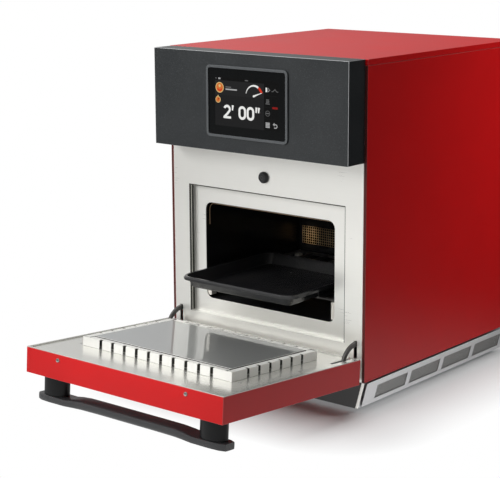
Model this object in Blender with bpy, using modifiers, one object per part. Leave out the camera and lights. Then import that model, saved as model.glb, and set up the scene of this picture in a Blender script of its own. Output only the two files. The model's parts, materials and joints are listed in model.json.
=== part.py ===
# Countertop speed oven with a drop-down door.
# Run it in Blender: blender --background --python part.py
#
# Pieces are placed in the oven's own coordinates: x to the right, y back from the face of
# the stainless front frame, z up from the lower edge of the vent skirts. The empty called
# oven_origin moves them so that the whole part stands on z = 0, centred in plan.

import math

import bmesh
import bpy
from mathutils import Matrix, Vector

MM = 0.001

# Casing
BODY_WIDTH = 460 * MM
BODY_DEPTH = 505 * MM
BODY_HEIGHT = 631 * MM
CASING_SHEET = 1.2 * MM
SIDE_FLANGE = 5.5 * MM
SIDE_SETBACK = 0.4 * MM
LID_LIP = 10.8 * MM
FOOT_HEIGHT = 10 * MM
FOOT_RADIUS = 17 * MM
FOOT_INSET = 46 * MM
SEAT_GAP = 0.3 * MM
SEAM_GAP = 0.6 * MM
OVERRUN = 4 * MM

# Vent skirts under the casing
SKIRT_HEIGHT = 51 * MM
SKIRT_SHADOW_GAP = 4 * MM
SKIRT_LEAN = 14 * MM
SKIRT_SETBACK = 12 * MM
GRILLE_COUNT = 4
GRILLE_PITCH = 112.7 * MM
GRILLE_BAR = 13 * MM
GRILLE_FIRST = 49 * MM
GRILLE_FOOT = 8.5 * MM
GRILLE_HEIGHT = 26.5 * MM
GRILLE_SHEET = 0.8 * MM
TRIM_WIDTH = 6 * MM

# Control fascia and touch screen
FASCIA_INSET = 5 * MM
FASCIA_HEIGHT = 181 * MM
FASCIA_DEPTH = 48.5 * MM
FASCIA_WALL = 2 * MM
BEZEL_WIDTH = 189 * MM
BEZEL_HEIGHT = 131.5 * MM
BEZEL_FOOT = 26 * MM
BEZEL_BAND = 5 * MM
BEZEL_PROUD = 3 * MM
BEZEL_CORNER = 9 * MM
GLASS_THICK = 2 * MM
GLASS_PROUD = 1 * MM
DISPLAY_WIDTH = 148 * MM
DISPLAY_HEIGHT = 88 * MM
DISPLAY_THICK = 6 * MM
BOARD_THICK = 1.6 * MM

# Cavity and the stepped mouth that the choke closes
CAVITY_WIDTH = 308 * MM
SPACE_BEHIND_CAVITY = 198.7 * MM
OPENING_FOOT = 147.5 * MM
LINTEL_HEIGHT = 114 * MM
OPENING_INSET = 0.5 * MM
OPENING_CORNER = 14 * MM
RECESS_DEPTH = 11.8 * MM
RECESS_SIDE = 30.5 * MM
RECESS_TOP = 31.5 * MM
RECESS_FOOT = 29 * MM
FRAME_SHEET = 1.2 * MM
FRAME_RETURN = 14 * MM
LINER_SHEET = 1.5 * MM
CERAMIC_THICK = 5.4 * MM
JET_RADIUS = 6 * MM
JET_ROWS = 4
JET_COLUMNS = 5
INTAKE_SLOTS = 21
INTAKE_SIDE = 8 * MM
# Shares of the cavity's height
INTAKE_FOOT_SHARE = 0.306
INTAKE_HEIGHT_SHARE = 0.2

# Door
DOOR_THICK = 47.3 * MM
DOOR_TILT = math.radians(4.157)
DOOR_TOP_GAP = 4.4 * MM
DOOR_CLOSED_GAP = 5 * MM
DOOR_SHEET = 1.2 * MM
DOOR_RIM_WIDTH = 4 * MM
DOOR_RIM_HEIGHT = 2 * MM
HINGE_HEIGHT = 80.1 * MM
HINGE_FROM_END = 11.5 * MM
HINGE_FROM_RIM = 19.5 * MM
HINGE_FROM_SIDE = 20.5 * MM

# Choke on the door: a mirror plate inside four rows of fingers
CHOKE_SIDE_GAP = 9 * MM
CHOKE_END_GAP = 7 * MM
CHOKE_HEIGHT = 16.7 * MM
CHOKE_SHEET = 1 * MM
CHOKE_LEDGE = 12.5 * MM
CHOKE_GROOVE = 3 * MM
CHOKE_NOTCH = 7 * MM
CHOKE_PLAIN_END = 30 * MM
CHOKE_LONG_PITCH = 29 * MM
CHOKE_SHORT_PITCH = 29.6 * MM
CHOKE_NOTCH_REACH = 7 * MM
CHOKE_CORNER_GAP = 3 * MM
PLATE_PROUD = 1 * MM

# Handle
HANDLE_INSET = 10 * MM
HANDLE_WIDTH = 37.6 * MM
HANDLE_STANDOFF = 51 * MM
HANDLE_GRIP = 20 * MM
HANDLE_SLAB = 13 * MM
HANDLE_FROM_EDGE = 33.5 * MM
POST_FROM_END = 35 * MM
POST_LENGTH = 55 * MM
POST_WIDTH = 35 * MM

# Hinges
ARM_RADIUS = 45 * MM
ARM_THICK = 4 * MM
ARM_TAIL = 30 * MM
ARM_BAND = 9 * MM
ARM_SLOT_RISE = 6 * MM
PIN_RADIUS = 4 * MM
PIN_CLEARANCE = 0.35 * MM
BOSS_RADIUS = 9 * MM
ARM_SIDE_GAP = 1.5 * MM
BRACKET_SHEET = 2 * MM

# Baking pan and rack
TRAY_SIDE_GAP = 20.5 * MM
TRAY_END_GAP = 26 * MM
TRAY_DEPTH = 22 * MM
TRAY_WALL = 1.6 * MM
TRAY_RIM = 7 * MM
TRAY_DRAFT = 7 * MM
TRAY_CORNER = 26 * MM
TRAY_REACH = 92 * MM
TRAY_RISE = 65.5 * MM
RACK_WIRE = 3 * MM
RACK_RUNS = 7
SUPPORT_RISE = 4.5 * MM
SUPPORT_WIDTH = 15 * MM
SUPPORT_THICK = 9.5 * MM

# Hot air system behind and above the cavity
PLENUM_DEPTH = 70 * MM
TOP_PLENUM_HEIGHT = 41 * MM
FAN_HUB = 16 * MM
FAN_DEPTH = 28 * MM
FAN_BLADES = 10
SHAFT_RADIUS = 5 * MM
MOTOR_RADIUS = 42 * MM
MOTOR_LENGTH = 60 * MM
HEATER_TUBE = 3.5 * MM
INSULATION = 20 * MM

# Microwave feed in the base
STIRRER_BOX_HALF = 105 * MM
STIRRER_BOX_HEIGHT = 28 * MM
STIRRER_RADIUS = 88 * MM
WAVEGUIDE_WIDTH = 86 * MM
WAVEGUIDE_HEIGHT = 34 * MM
MAGNETRON_HEIGHT = 62 * MM
TRANSFORMER_WIDTH = 96 * MM
TRANSFORMER_LENGTH = 104 * MM
TRANSFORMER_HEIGHT = 78 * MM
TRANSFORMER_FROM_SIDE = 120 * MM
TRANSFORMER_FROM_FRONT = 76 * MM
COOLING_FRAME = 116 * MM
COOLING_DEPTH = 26 * MM
COOLING_BLADES = 7

# Small fittings
BUFFER_RADIUS = 10.7 * MM
BUFFER_DROP = 49 * MM
DOOR_SCREW_RADIUS = 4 * MM
DOOR_SCREW_HEAD = 1.8 * MM
DOOR_SCREW_SPACING = 300 * MM
DOOR_SCREW_DROP = 11.8 * MM
GLAND_RADIUS = 13 * MM
GLAND_LENGTH = 24 * MM
GLAND_NECK = 2.2 * MM
DECK_ABOVE_PLENUM = 26 * MM

# Places that follow from the sizes above
HALF_BODY = BODY_WIDTH / 2
HALF_CAVITY = CAVITY_WIDTH / 2
HALF_OPENING = HALF_CAVITY - OPENING_INSET
FASCIA_FOOT = BODY_HEIGHT - FASCIA_HEIGHT
OPENING_TOP = FASCIA_FOOT - LINTEL_HEIGHT
RECESS_HALF = HALF_OPENING + RECESS_SIDE
RECESS_LOW = OPENING_FOOT - RECESS_FOOT
RECESS_HIGH = OPENING_TOP + RECESS_TOP
CAVITY_FRONT = RECESS_DEPTH + FRAME_SHEET + SEAT_GAP
CAVITY_BACK = BODY_DEPTH - SPACE_BEHIND_CAVITY
CAVITY_DEPTH = CAVITY_BACK - CAVITY_FRONT
FASCIA_WIDTH = BODY_WIDTH - FASCIA_INSET * 2
LID_FOOT = BODY_HEIGHT - LID_LIP
HALF_FRAME = HALF_BODY - SIDE_FLANGE - SEAM_GAP
PIVOT_Y = -DOOR_CLOSED_GAP - HINGE_FROM_RIM
PIVOT_Z = HINGE_HEIGHT
DOOR_REACH = FASCIA_FOOT - DOOR_TOP_GAP - PIVOT_Z
DOOR_OUTER = HINGE_FROM_RIM - DOOR_THICK
FIELD_TOP = HINGE_FROM_RIM - DOOR_RIM_HEIGHT
HINGE_X = HALF_BODY - HINGE_FROM_SIDE
HANDLE_LENGTH = BODY_WIDTH - HANDLE_INSET * 2
POST_SPACING = HANDLE_LENGTH - POST_FROM_END * 2
TRAY_WIDTH = CAVITY_WIDTH - TRAY_SIDE_GAP * 2
TRAY_LENGTH = CAVITY_DEPTH - TRAY_END_GAP
TRAY_TOP = OPENING_FOOT + TRAY_RISE
SUPPORT_FOOT = OPENING_FOOT + SUPPORT_RISE
FLOOR_Z = OPENING_FOOT - SEAT_GAP
CEILING_Z = OPENING_TOP + OPENING_INSET
PLENUM_BACK = CAVITY_BACK + LINER_SHEET + SEAT_GAP + PLENUM_DEPTH
PLENUM_TOP = CEILING_Z + LINER_SHEET + SEAT_GAP + TOP_PLENUM_HEIGHT
DECK_Z = PLENUM_TOP + DECK_ABOVE_PLENUM
WALL_FOOT = FLOOR_Z - CERAMIC_THICK
PLENUM_HEIGHT = PLENUM_TOP - WALL_FOOT
# Shares of the plenum's height
FAN_AXIS_SHARE = 0.368
FAN_RADIUS_SHARE = 0.244
HEATER_RADIUS_SHARE = 0.303
FAN_Z = WALL_FOOT + PLENUM_HEIGHT * FAN_AXIS_SHARE
FAN_RADIUS = PLENUM_HEIGHT * FAN_RADIUS_SHARE
HEATER_RADIUS = PLENUM_HEIGHT * HEATER_RADIUS_SHARE
DOOR_END_Y = PIVOT_Y - DOOR_REACH * math.cos(DOOR_TILT) + DOOR_OUTER * math.sin(DOOR_TILT)
REAR_END_Y = BODY_DEPTH + GLAND_LENGTH
ORIGIN_SHIFT = Vector((0, -(DOOR_END_Y + REAR_END_Y) / 2, FOOT_HEIGHT))

COLOURS = {
    "red_powder_coat": ((0.62, 0.02, 0.02), 0.35, 0.0),
    "anthracite_coat": ((0.055, 0.065, 0.075), 0.4, 0.5),
    "stainless": ((0.66, 0.65, 0.63), 0.28, 1.0),
    "skirt_grey": ((0.42, 0.42, 0.43), 0.4, 0.6),
    "vent_mesh": ((0.16, 0.16, 0.16), 0.6, 0.5),
    "black_sheet": ((0.03, 0.03, 0.03), 0.5, 0.0),
    "black_enamel": ((0.012, 0.012, 0.014), 0.2, 0.0),
    "black_plastic": ((0.02, 0.021, 0.023), 0.45, 0.0),
    "screen_glass": ((0.01, 0.011, 0.012), 0.08, 0.0),
    "galvanised": ((0.5, 0.51, 0.52), 0.45, 1.0),
    "cast_steel": ((0.2, 0.2, 0.2), 0.45, 1.0),
    "ceramic": ((0.82, 0.8, 0.76), 0.5, 0.0),
    "mineral_wool": ((0.75, 0.7, 0.55), 0.95, 0.0),
    "rubber": ((0.015, 0.015, 0.015), 0.7, 0.0),
    "copper": ((0.6, 0.28, 0.14), 0.4, 1.0),
    "circuit_board": ((0.02, 0.16, 0.07), 0.5, 0.0),
}

AXIS_TURN = {
    "X": Matrix.Rotation(math.pi / 2, 4, "Y"),
    "Y": Matrix.Rotation(-math.pi / 2, 4, "X"),
    "-Y": Matrix.Rotation(math.pi / 2, 4, "X"),
    "Z": Matrix(),
}
FACE_SIDES = {"-x": (0, -1), "+x": (0, 1), "-y": (1, -1), "+y": (1, 1), "-z": (2, -1), "+z": (2, 1)}


def clear_scene():
    for old in list(bpy.data.objects):
        bpy.data.objects.remove(old, do_unlink=True)


def collection(name):
    made = bpy.data.collections.new(name)
    bpy.context.scene.collection.children.link(made)
    return made


clear_scene()
OVEN = collection("speed_oven")
CUTTERS = collection("cutters")


def material(name):
    found = bpy.data.materials.get(name)
    if found:
        return found
    colour, roughness, metallic = COLOURS[name]
    made = bpy.data.materials.new(name)
    made.use_nodes = True
    shader = made.node_tree.nodes["Principled BSDF"]
    shader.inputs["Base Color"].default_value = (*colour, 1)
    shader.inputs["Roughness"].default_value = roughness
    shader.inputs["Metallic"].default_value = metallic
    made.diffuse_color = (*colour, 1)
    return made


def empty(name, place, parent=None, tilt=0.0):
    made = bpy.data.objects.new(name, None)
    OVEN.objects.link(made)
    made.location = place
    made.rotation_euler = (tilt, 0, 0)
    made.parent = parent
    return made


ORIGIN = empty("oven_origin", ORIGIN_SHIFT)
DOOR = empty("door_axis", (0, PIVOT_Y, PIVOT_Z), ORIGIN, -DOOR_TILT)
TRAY = empty("tray_runner", (0, -TRAY_REACH, TRAY_TOP), ORIGIN)
FAN = empty("fan_axis", (0, CAVITY_BACK + LINER_SHEET, FAN_Z), ORIGIN)
STIRRER = empty("stirrer_axis", (0, CAVITY_FRONT + CAVITY_DEPTH / 2, FLOOR_Z), ORIGIN)
COOLER_Z = LINER_SHEET + SEAT_GAP + COOLING_FRAME / 2
COOLER = empty("cooler_axis", (0, BODY_DEPTH - COOLING_DEPTH * 2, COOLER_Z), ORIGIN)


def add_object(name, data, place, finish, parent):
    made = bpy.data.objects.new(name, data)
    OVEN.objects.link(made)
    made.location = place
    made.parent = parent
    data.materials.append(material(finish))
    return made


def mesh_from(name, solid):
    mesh = bpy.data.meshes.new(name)
    solid.to_mesh(mesh)
    solid.free()
    return mesh


def middle(span):
    return (span[0] + span[1]) / 2


def both_ways(half):
    return (-half, half)


def around(centre, half):
    return (centre - half, centre + half)


def block(name, x, y, z, finish, parent=ORIGIN, bevel=0.0):
    """A box that fills the three spans, with its edges rounded if bevel is given."""
    solid = bmesh.new()
    bmesh.ops.create_cube(solid, size=1)
    bmesh.ops.scale(solid, vec=(x[1] - x[0], y[1] - y[0], z[1] - z[0]), verts=solid.verts)
    made = add_object(name, mesh_from(name, solid), (middle(x), middle(y), middle(z)), finish, parent)
    if bevel:
        round_edges(made, bevel)
    return made


def pan(name, x, y, z, open_side, wall, finish, parent=ORIGIN):
    """A folded sheet pan: a box with one side missing, its wall inside the three spans."""
    made = block(name, x, y, z, finish, parent)
    axis, sign = FACE_SIDES[open_side]
    shell = bmesh.new()
    shell.from_mesh(made.data)
    missing = [face for face in shell.faces if face.normal[axis] * sign > 0.5]
    bmesh.ops.delete(shell, geom=missing, context="FACES")
    shell.to_mesh(made.data)
    shell.free()
    sheet = made.modifiers.new("sheet", "SOLIDIFY")
    sheet.thickness = wall
    sheet.offset = -1
    sheet.use_even_offset = True
    return made


def rod(name, radius, span, centre, axis, finish, parent=ORIGIN, sides=24, radius_end=None):
    """A round bar along one axis, from span[0] to span[1], tapered if radius_end is given."""
    solid = bmesh.new()
    bmesh.ops.create_cone(
        solid,
        cap_ends=True,
        segments=sides,
        radius1=radius,
        radius2=radius if radius_end is None else radius_end,
        depth=span[1] - span[0],
    )
    bmesh.ops.transform(solid, matrix=AXIS_TURN[axis], verts=solid.verts)
    place = list(centre)
    place["XYZ".index(axis)] = middle(span)
    made = add_object(name, mesh_from(name, solid), place, finish, parent)
    smooth(made)
    return made


def smooth(made, angle=math.radians(35)):
    made.data.shade_smooth()
    made.data.set_sharp_from_angle(angle=angle)


def round_edges(made, width, segments=2):
    bevel = made.modifiers.new("rounded edges", "BEVEL")
    bevel.width = width
    bevel.segments = segments
    bevel.limit_method = "ANGLE"
    bevel.angle_limit = math.radians(40)


def outline(name, points, span, axis, finish, parent=ORIGIN):
    """A flat outline, in the two other axes in cyclic order, with the thickness of span along axis."""
    curve = bpy.data.curves.new(name, "CURVE")
    curve.dimensions = "2D"
    curve.fill_mode = "BOTH"
    curve.extrude = (span[1] - span[0]) / 2
    spline = curve.splines.new("POLY")
    spline.points.add(len(points) - 1)
    for point, (u, v) in zip(spline.points, points):
        point.co = (u, v, 0, 1)
    spline.use_cyclic_u = True
    turn = {"X": Matrix(((0, 0, 1), (1, 0, 0), (0, 1, 0))), "Y": Matrix(((0, 1, 0), (0, 0, 1), (1, 0, 0)))}
    frame = turn[axis].to_4x4() if axis in turn else Matrix()
    frame.translation = Vector([middle(span) if letter == axis else 0 for letter in "XYZ"])
    return curve_to_mesh(name, curve, frame, finish, parent)


def curve_to_mesh(name, curve, frame, finish, parent):
    """Turns a curve into a closed mesh object, its caps welded."""
    guide = bpy.data.objects.new(name + "_guide", curve)
    bpy.context.scene.collection.objects.link(guide)
    depsgraph = bpy.context.evaluated_depsgraph_get()
    mesh = bpy.data.meshes.new_from_object(guide.evaluated_get(depsgraph))
    bpy.data.objects.remove(guide, do_unlink=True)
    bpy.data.curves.remove(curve)
    solid = bmesh.new()
    solid.from_mesh(mesh)
    bmesh.ops.remove_doubles(solid, verts=solid.verts, dist=SEAT_GAP / 10)
    bmesh.ops.transform(solid, matrix=frame, verts=solid.verts)
    bmesh.ops.recalc_face_normals(solid, faces=solid.faces)
    solid.to_mesh(mesh)
    solid.free()
    mesh.name = name
    mesh.materials.clear()
    made = add_object(name, mesh, (0, 0, 0), finish, parent)
    smooth(made)
    return made


def tube(name, points, radius, finish, parent=ORIGIN, closed=False):
    """A round bar or pipe along a path, with flat ends."""
    curve = bpy.data.curves.new(name, "CURVE")
    curve.dimensions = "3D"
    curve.bevel_depth = radius
    curve.bevel_resolution = 2
    curve.use_fill_caps = not closed
    spline = curve.splines.new("POLY")
    spline.points.add(len(points) - 1)
    for point, place in zip(spline.points, points):
        point.co = (*place, 1)
    spline.use_cyclic_u = closed
    return curve_to_mesh(name, curve, Matrix(), finish, parent)


def turned(name, profile, place, axis, finish, parent=ORIGIN, steps=24):
    """A turned piece: profile is (radius, height) pairs down its outer side, from axis to axis."""
    mesh = bpy.data.meshes.new(name)
    line = bmesh.new()
    verts = [line.verts.new((radius, 0, height)) for radius, height in profile]
    for start, end in zip(verts, verts[1:]):
        line.edges.new((start, end))
    line.to_mesh(mesh)
    line.free()
    made = add_object(name, mesh, place, finish, parent)
    made.rotation_euler = AXIS_TURN[axis].to_euler()
    screw = made.modifiers.new("turned", "SCREW")
    screw.steps = steps
    screw.render_steps = steps
    screw.use_merge_vertices = True
    screw.merge_threshold = SEAT_GAP / 10
    return made


def boolean(made, other, operation):
    """Cuts or joins one piece with a hidden helper shape."""
    other.hide_render = True
    other.display_type = "WIRE"
    if CUTTERS not in other.users_collection:
        OVEN.objects.unlink(other)
        CUTTERS.objects.link(other)
    change = made.modifiers.new(operation.lower(), "BOOLEAN")
    change.operation = operation
    change.solver = "EXACT"
    change.object = other
    return made


def cut(made, *others):
    for other in others:
        boolean(made, other, "DIFFERENCE")
    return made


def join(made, *others):
    for other in others:
        boolean(made, other, "UNION")
    return made


def arc(centre, radius, start, end, steps):
    """Points of a circular arc, from one angle in degrees to another."""
    turn = [math.radians(start + (end - start) * step / steps) for step in range(steps + 1)]
    return [(centre[0] + radius * math.cos(a), centre[1] + radius * math.sin(a)) for a in turn]


QUARTER_TURN = 90


def rounded_rectangle(x, y, radius, steps=4):
    right, left = x[1] - radius, x[0] + radius
    high, low = y[1] - radius, y[0] + radius
    points = []
    for quarter, centre in enumerate(((right, high), (left, high), (left, low), (right, low))):
        points += arc(centre, radius, quarter * QUARTER_TURN, (quarter + 1) * QUARTER_TURN, steps)
    return points


def side_span(sign, near, far):
    """The span from near to far on the right, or its mirror image on the left."""
    return (near, far) if sign > 0 else (-far, -near)


def gather(name, pieces):
    """Makes one helper shape of several bodies, for one cut or one join."""
    keeper = pieces[0]
    group = bmesh.new()
    for piece in pieces:
        start = len(group.verts)
        group.from_mesh(piece.data)
        group.verts.ensure_lookup_table()
        placed = Matrix.Translation(piece.location - keeper.location)
        bmesh.ops.transform(group, matrix=placed, verts=group.verts[start:])
    group.to_mesh(keeper.data)
    group.free()
    keeper.name = name
    for piece in pieces[1:]:
        bpy.data.objects.remove(piece, do_unlink=True)
    return keeper


SIDES = (("left", -1), ("right", 1))


def casing():
    for side, sign in SIDES:
        pan(
            f"side_panel_{side}",
            side_span(sign, HALF_BODY - SIDE_FLANGE, HALF_BODY),
            (SIDE_SETBACK, BODY_DEPTH),
            (SKIRT_HEIGHT, LID_FOOT - SEAM_GAP),
            "-x" if sign > 0 else "+x",
            CASING_SHEET,
            "red_powder_coat",
        )
    pan(
        "top_cover",
        both_ways(HALF_BODY),
        (SIDE_SETBACK, BODY_DEPTH),
        (LID_FOOT, BODY_HEIGHT),
        "-z",
        CASING_SHEET,
        "red_powder_coat",
    )
    rear = block(
        "rear_panel",
        both_ways(HALF_FRAME),
        (BODY_DEPTH - CASING_SHEET, BODY_DEPTH),
        (SKIRT_HEIGHT, LID_FOOT - SEAM_GAP),
        "galvanised",
    )
    cut(rear, louvres(), gland_hole())


LOUVRE_ROWS = 7
LOUVRE_PITCH = 16 * MM
LOUVRE_HEIGHT = 6 * MM
LOUVRE_LENGTH = 150 * MM
LOUVRE_LOW = 72 * MM
LOUVRE_DROP = 142.2 * MM


def louvres():
    """Two fields of long slots in the rear panel, for the cooling air."""
    slots = []
    for field in (LOUVRE_LOW, LID_FOOT - LOUVRE_DROP):
        for row in range(LOUVRE_ROWS):
            foot = field + row * LOUVRE_PITCH
            height = (foot, foot + LOUVRE_HEIGHT)
            depth = (BODY_DEPTH - CASING_SHEET - OVERRUN, BODY_DEPTH + OVERRUN)
            slots.append(block("louvre", both_ways(LOUVRE_LENGTH / 2), depth, height, "black_sheet"))
    return gather("louvre_cutter", slots)


GLAND_FROM_SIDE = 70 * MM
GLAND_X = HALF_BODY - GLAND_FROM_SIDE
GLAND_Z = 100 * MM
GLAND_STEM = 8 * MM


def gland_hole():
    reach = (BODY_DEPTH - CASING_SHEET - OVERRUN, BODY_DEPTH + OVERRUN)
    return rod("gland_hole", GLAND_STEM + SEAT_GAP, reach, (GLAND_X, 0, GLAND_Z), "Y", "black_sheet")


def cable_gland():
    """A screwed gland for the mains lead: collar outside, stem through the rear panel."""
    collar = GLAND_LENGTH - GLAND_NECK
    bore = GLAND_STEM / 2
    profile = (
        (bore, GLAND_LENGTH),
        (GLAND_STEM, GLAND_LENGTH),
        (GLAND_RADIUS, collar * 2 / 3),
        (GLAND_RADIUS, SEAT_GAP),
        (GLAND_STEM, SEAT_GAP),
        (GLAND_STEM, -GLAND_RADIUS),
        (bore, -GLAND_RADIUS),
        (bore, GLAND_LENGTH),
    )
    turned("cable_gland", profile, (GLAND_X, BODY_DEPTH, GLAND_Z), "Y", "black_plastic")


def base():
    half = HALF_BODY - SKIRT_LEAN - CASING_SHEET - SEAT_GAP
    front = SIDE_SETBACK + CASING_SHEET + SEAT_GAP
    top = SKIRT_HEIGHT - SEAM_GAP
    pan("base_pan", both_ways(half), (front, BODY_DEPTH), (0, top), "+z", LINER_SHEET, "galvanised")
    for side, sign in SIDES:
        for end, y in (("front", front + FOOT_INSET), ("rear", BODY_DEPTH - FOOT_INSET)):
            place = (sign * (half - FOOT_INSET), y, 0)
            height = (-FOOT_HEIGHT, -SEAT_GAP)
            rod(
                f"foot_{end}_{side}", FOOT_RADIUS * 4 / 5, height, place, "Z",
                "rubber", radius_end=FOOT_RADIUS
            )


def lean(sign, inset, thick, foot, top):
    """A strip that leans like the skirts, as (z, x) points for an outline along y."""
    slope = SKIRT_LEAN / SKIRT_HEIGHT
    ends = [(z, HALF_BODY - inset - (SKIRT_HEIGHT - z) * slope) for z in (foot, top)]
    points = ends + [(z, x - thick) for z, x in reversed(ends)]
    return [(z, sign * x) for z, x in points]


def skirts():
    top = SKIRT_HEIGHT - SKIRT_SHADOW_GAP
    for side, sign in SIDES:
        skirt = outline(
            f"skirt_{side}",
            lean(sign, 0, CASING_SHEET, 0, top),
            (SKIRT_SETBACK, BODY_DEPTH),
            "Y",
            "skirt_grey",
        )
        cut(skirt, grille_windows(side, sign))
        outline(
            f"vent_mesh_{side}",
            lean(sign, CASING_SHEET + SEAT_GAP, GRILLE_SHEET, GRILLE_FOOT - OVERRUN, top - OVERRUN),
            (GRILLE_FIRST - GRILLE_BAR / 2, GRILLE_FIRST + GRILLE_COUNT * GRILLE_PITCH - GRILLE_BAR / 2),
            "Y",
            "vent_mesh",
        )
    high = SKIRT_HEIGHT - SEAM_GAP
    backing = lean(-1, 0, 0, 0, high)[:2]
    strip = (SIDE_SETBACK, SIDE_SETBACK + CASING_SHEET)
    outline("skirt_trim", lean(1, 0, 0, 0, high)[:2] + backing[::-1], strip, "Y", "stainless")
    facing = lean(-1, TRIM_WIDTH, 0, 0, high)[:2]
    front = (strip[0] - SEAT_GAP - CASING_SHEET, strip[0] - SEAT_GAP)
    outline("skirt_front", lean(1, TRIM_WIDTH, 0, 0, high)[:2] + facing[::-1], front, "Y", "black_sheet")


def grille_windows(side, sign):
    windows = []
    for count in range(GRILLE_COUNT):
        start = GRILLE_FIRST + count * GRILLE_PITCH
        across = side_span(sign, HALF_BODY - SKIRT_LEAN - OVERRUN * 2, HALF_BODY + OVERRUN)
        height = (GRILLE_FOOT, GRILLE_FOOT + GRILLE_HEIGHT)
        windows.append(
            block("window", across, (start, start + GRILLE_PITCH - GRILLE_BAR), height, "black_sheet")
        )
    return gather(f"grille_windows_{side}", windows)


def front_frame():
    """The stainless face: a folded pan with a stepped pocket round the cavity's mouth."""
    frame = pan(
        "front_frame",
        both_ways(HALF_FRAME),
        (0, FRAME_RETURN),
        (SKIRT_HEIGHT, FASCIA_FOOT - SEAT_GAP),
        "+y",
        FRAME_SHEET,
        "stainless",
    )
    pocket = block(
        "pocket",
        both_ways(RECESS_HALF + FRAME_SHEET),
        (FRAME_SHEET / 2, RECESS_DEPTH + FRAME_SHEET),
        (RECESS_LOW - FRAME_SHEET, RECESS_HIGH + FRAME_SHEET),
        "stainless",
    )
    step = block(
        "step", both_ways(RECESS_HALF), (-OVERRUN, RECESS_DEPTH), (RECESS_LOW, RECESS_HIGH), "stainless"
    )
    mouth = outline(
        "mouth",
        rounded_rectangle((OPENING_FOOT, OPENING_TOP), both_ways(HALF_OPENING), OPENING_CORNER),
        (-OVERRUN, CAVITY_FRONT + OVERRUN),
        "Y",
        "stainless",
    )
    join(frame, pocket, receivers("receiver_boxes", BRACKET_SHEET + SEAT_GAP, FRAME_SHEET / 2))
    cut(frame, step, mouth, receivers("receiver_spaces", SEAT_GAP, -OVERRUN), arm_slots(), buffer_hole())


def receivers(name, margin, start):
    """The two boxes behind the frame that hold the hinge arms' tails."""
    boxes = []
    for sign in (-1, 1):
        x = side_span(sign, HINGE_X - ARM_THICK / 2 - margin, HINGE_X + ARM_THICK / 2 + margin)
        z = (PIVOT_Z + ARM_RADIUS - ARM_BAND - margin, PIVOT_Z + ARM_RADIUS + margin)
        boxes.append(block("box", x, (start, ARM_TAIL + margin), z, "stainless"))
    return gather(name, boxes)


def arm_slots():
    slots = []
    for sign in (-1, 1):
        x = side_span(sign, HINGE_X - ARM_THICK / 2 - ARM_SIDE_GAP, HINGE_X + ARM_THICK / 2 + ARM_SIDE_GAP)
        z = (PIVOT_Z + ARM_SLOT_RISE, PIVOT_Z + ARM_RADIUS + ARM_SIDE_GAP)
        slots.append(block("slot", x, (-OVERRUN, FRAME_SHEET + OVERRUN), z, "stainless"))
    return gather("arm_slots", slots)


BUFFER_STEM = 3 * MM


def buffer_hole():
    reach = (-OVERRUN, FRAME_SHEET + OVERRUN)
    return rod(
        "buffer_hole", BUFFER_STEM + SEAT_GAP, reach, (0, 0, FASCIA_FOOT - BUFFER_DROP), "Y", "rubber"
    )


def door_buffer():
    """The round rubber stop over the cavity that the closed door rests against."""
    proud = DOOR_CLOSED_GAP + DOOR_RIM_HEIGHT - SEAT_GAP
    profile = (
        (0, proud),
        (BUFFER_RADIUS * 3 / 4, proud),
        (BUFFER_RADIUS, proud / 2),
        (BUFFER_RADIUS, SEAT_GAP),
        (BUFFER_STEM, SEAT_GAP),
        (BUFFER_STEM, -FRAME_RETURN / 2),
        (0, -FRAME_RETURN / 2),
    )
    turned("door_buffer", profile, (0, 0, FASCIA_FOOT - BUFFER_DROP), "-Y", "rubber")


# Angles along an arm, in degrees: its tip, the round of its boss, and where its web ends
ARM_TIP_ANGLE = 172
BOSS_ANGLES = (225, 430)
ARM_WEB_ANGLE = 148


def hinge_arms():
    """Slender curved steel arms, fixed in the body, that carry the door's pins."""
    neck = ARM_RADIUS - ARM_BAND
    points = [(ARM_TAIL, PIVOT_Z + neck), (ARM_TAIL, PIVOT_Z + ARM_RADIUS)]
    points += arc((0, PIVOT_Z), ARM_RADIUS, QUARTER_TURN, ARM_TIP_ANGLE, 12)
    points += arc((PIVOT_Y, PIVOT_Z), BOSS_RADIUS, *BOSS_ANGLES, 8)
    points += arc((0, PIVOT_Z), neck, ARM_WEB_ANGLE, QUARTER_TURN, 6)
    for side, sign in SIDES:
        x = side_span(sign, HINGE_X - ARM_THICK / 2, HINGE_X + ARM_THICK / 2)
        arm = outline(f"hinge_arm_{side}", points, x, "X", "cast_steel")
        reach = side_span(sign, HINGE_X - ARM_THICK, HINGE_X + ARM_THICK)
        bore = rod("bore", PIN_RADIUS + PIN_CLEARANCE, reach, (0, PIVOT_Y, PIVOT_Z), "X", "cast_steel")
        cut(arm, bore)


ARM_SWING = math.hypot(PIVOT_Y, ARM_RADIUS)
DOOR_Y = (-DOOR_REACH, HINGE_FROM_END)
PANEL_LOW = FIELD_TOP - DOOR_SHEET


def arm_channels(name):
    """The slots in the door that swallow the hinge arms as it closes."""
    reach = math.sqrt(ARM_SWING**2 - PANEL_LOW**2) + ARM_SIDE_GAP
    channels = []
    for sign in (-1, 1):
        x = side_span(sign, HINGE_X - ARM_THICK / 2 - ARM_SIDE_GAP, HINGE_X + ARM_THICK / 2 + ARM_SIDE_GAP)
        z = (-BOSS_RADIUS, HINGE_FROM_RIM + OVERRUN)
        channels.append(block("channel", x, (-reach, HINGE_FROM_END + OVERRUN), z, "stainless", DOOR))
    return gather(name, channels)


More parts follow.
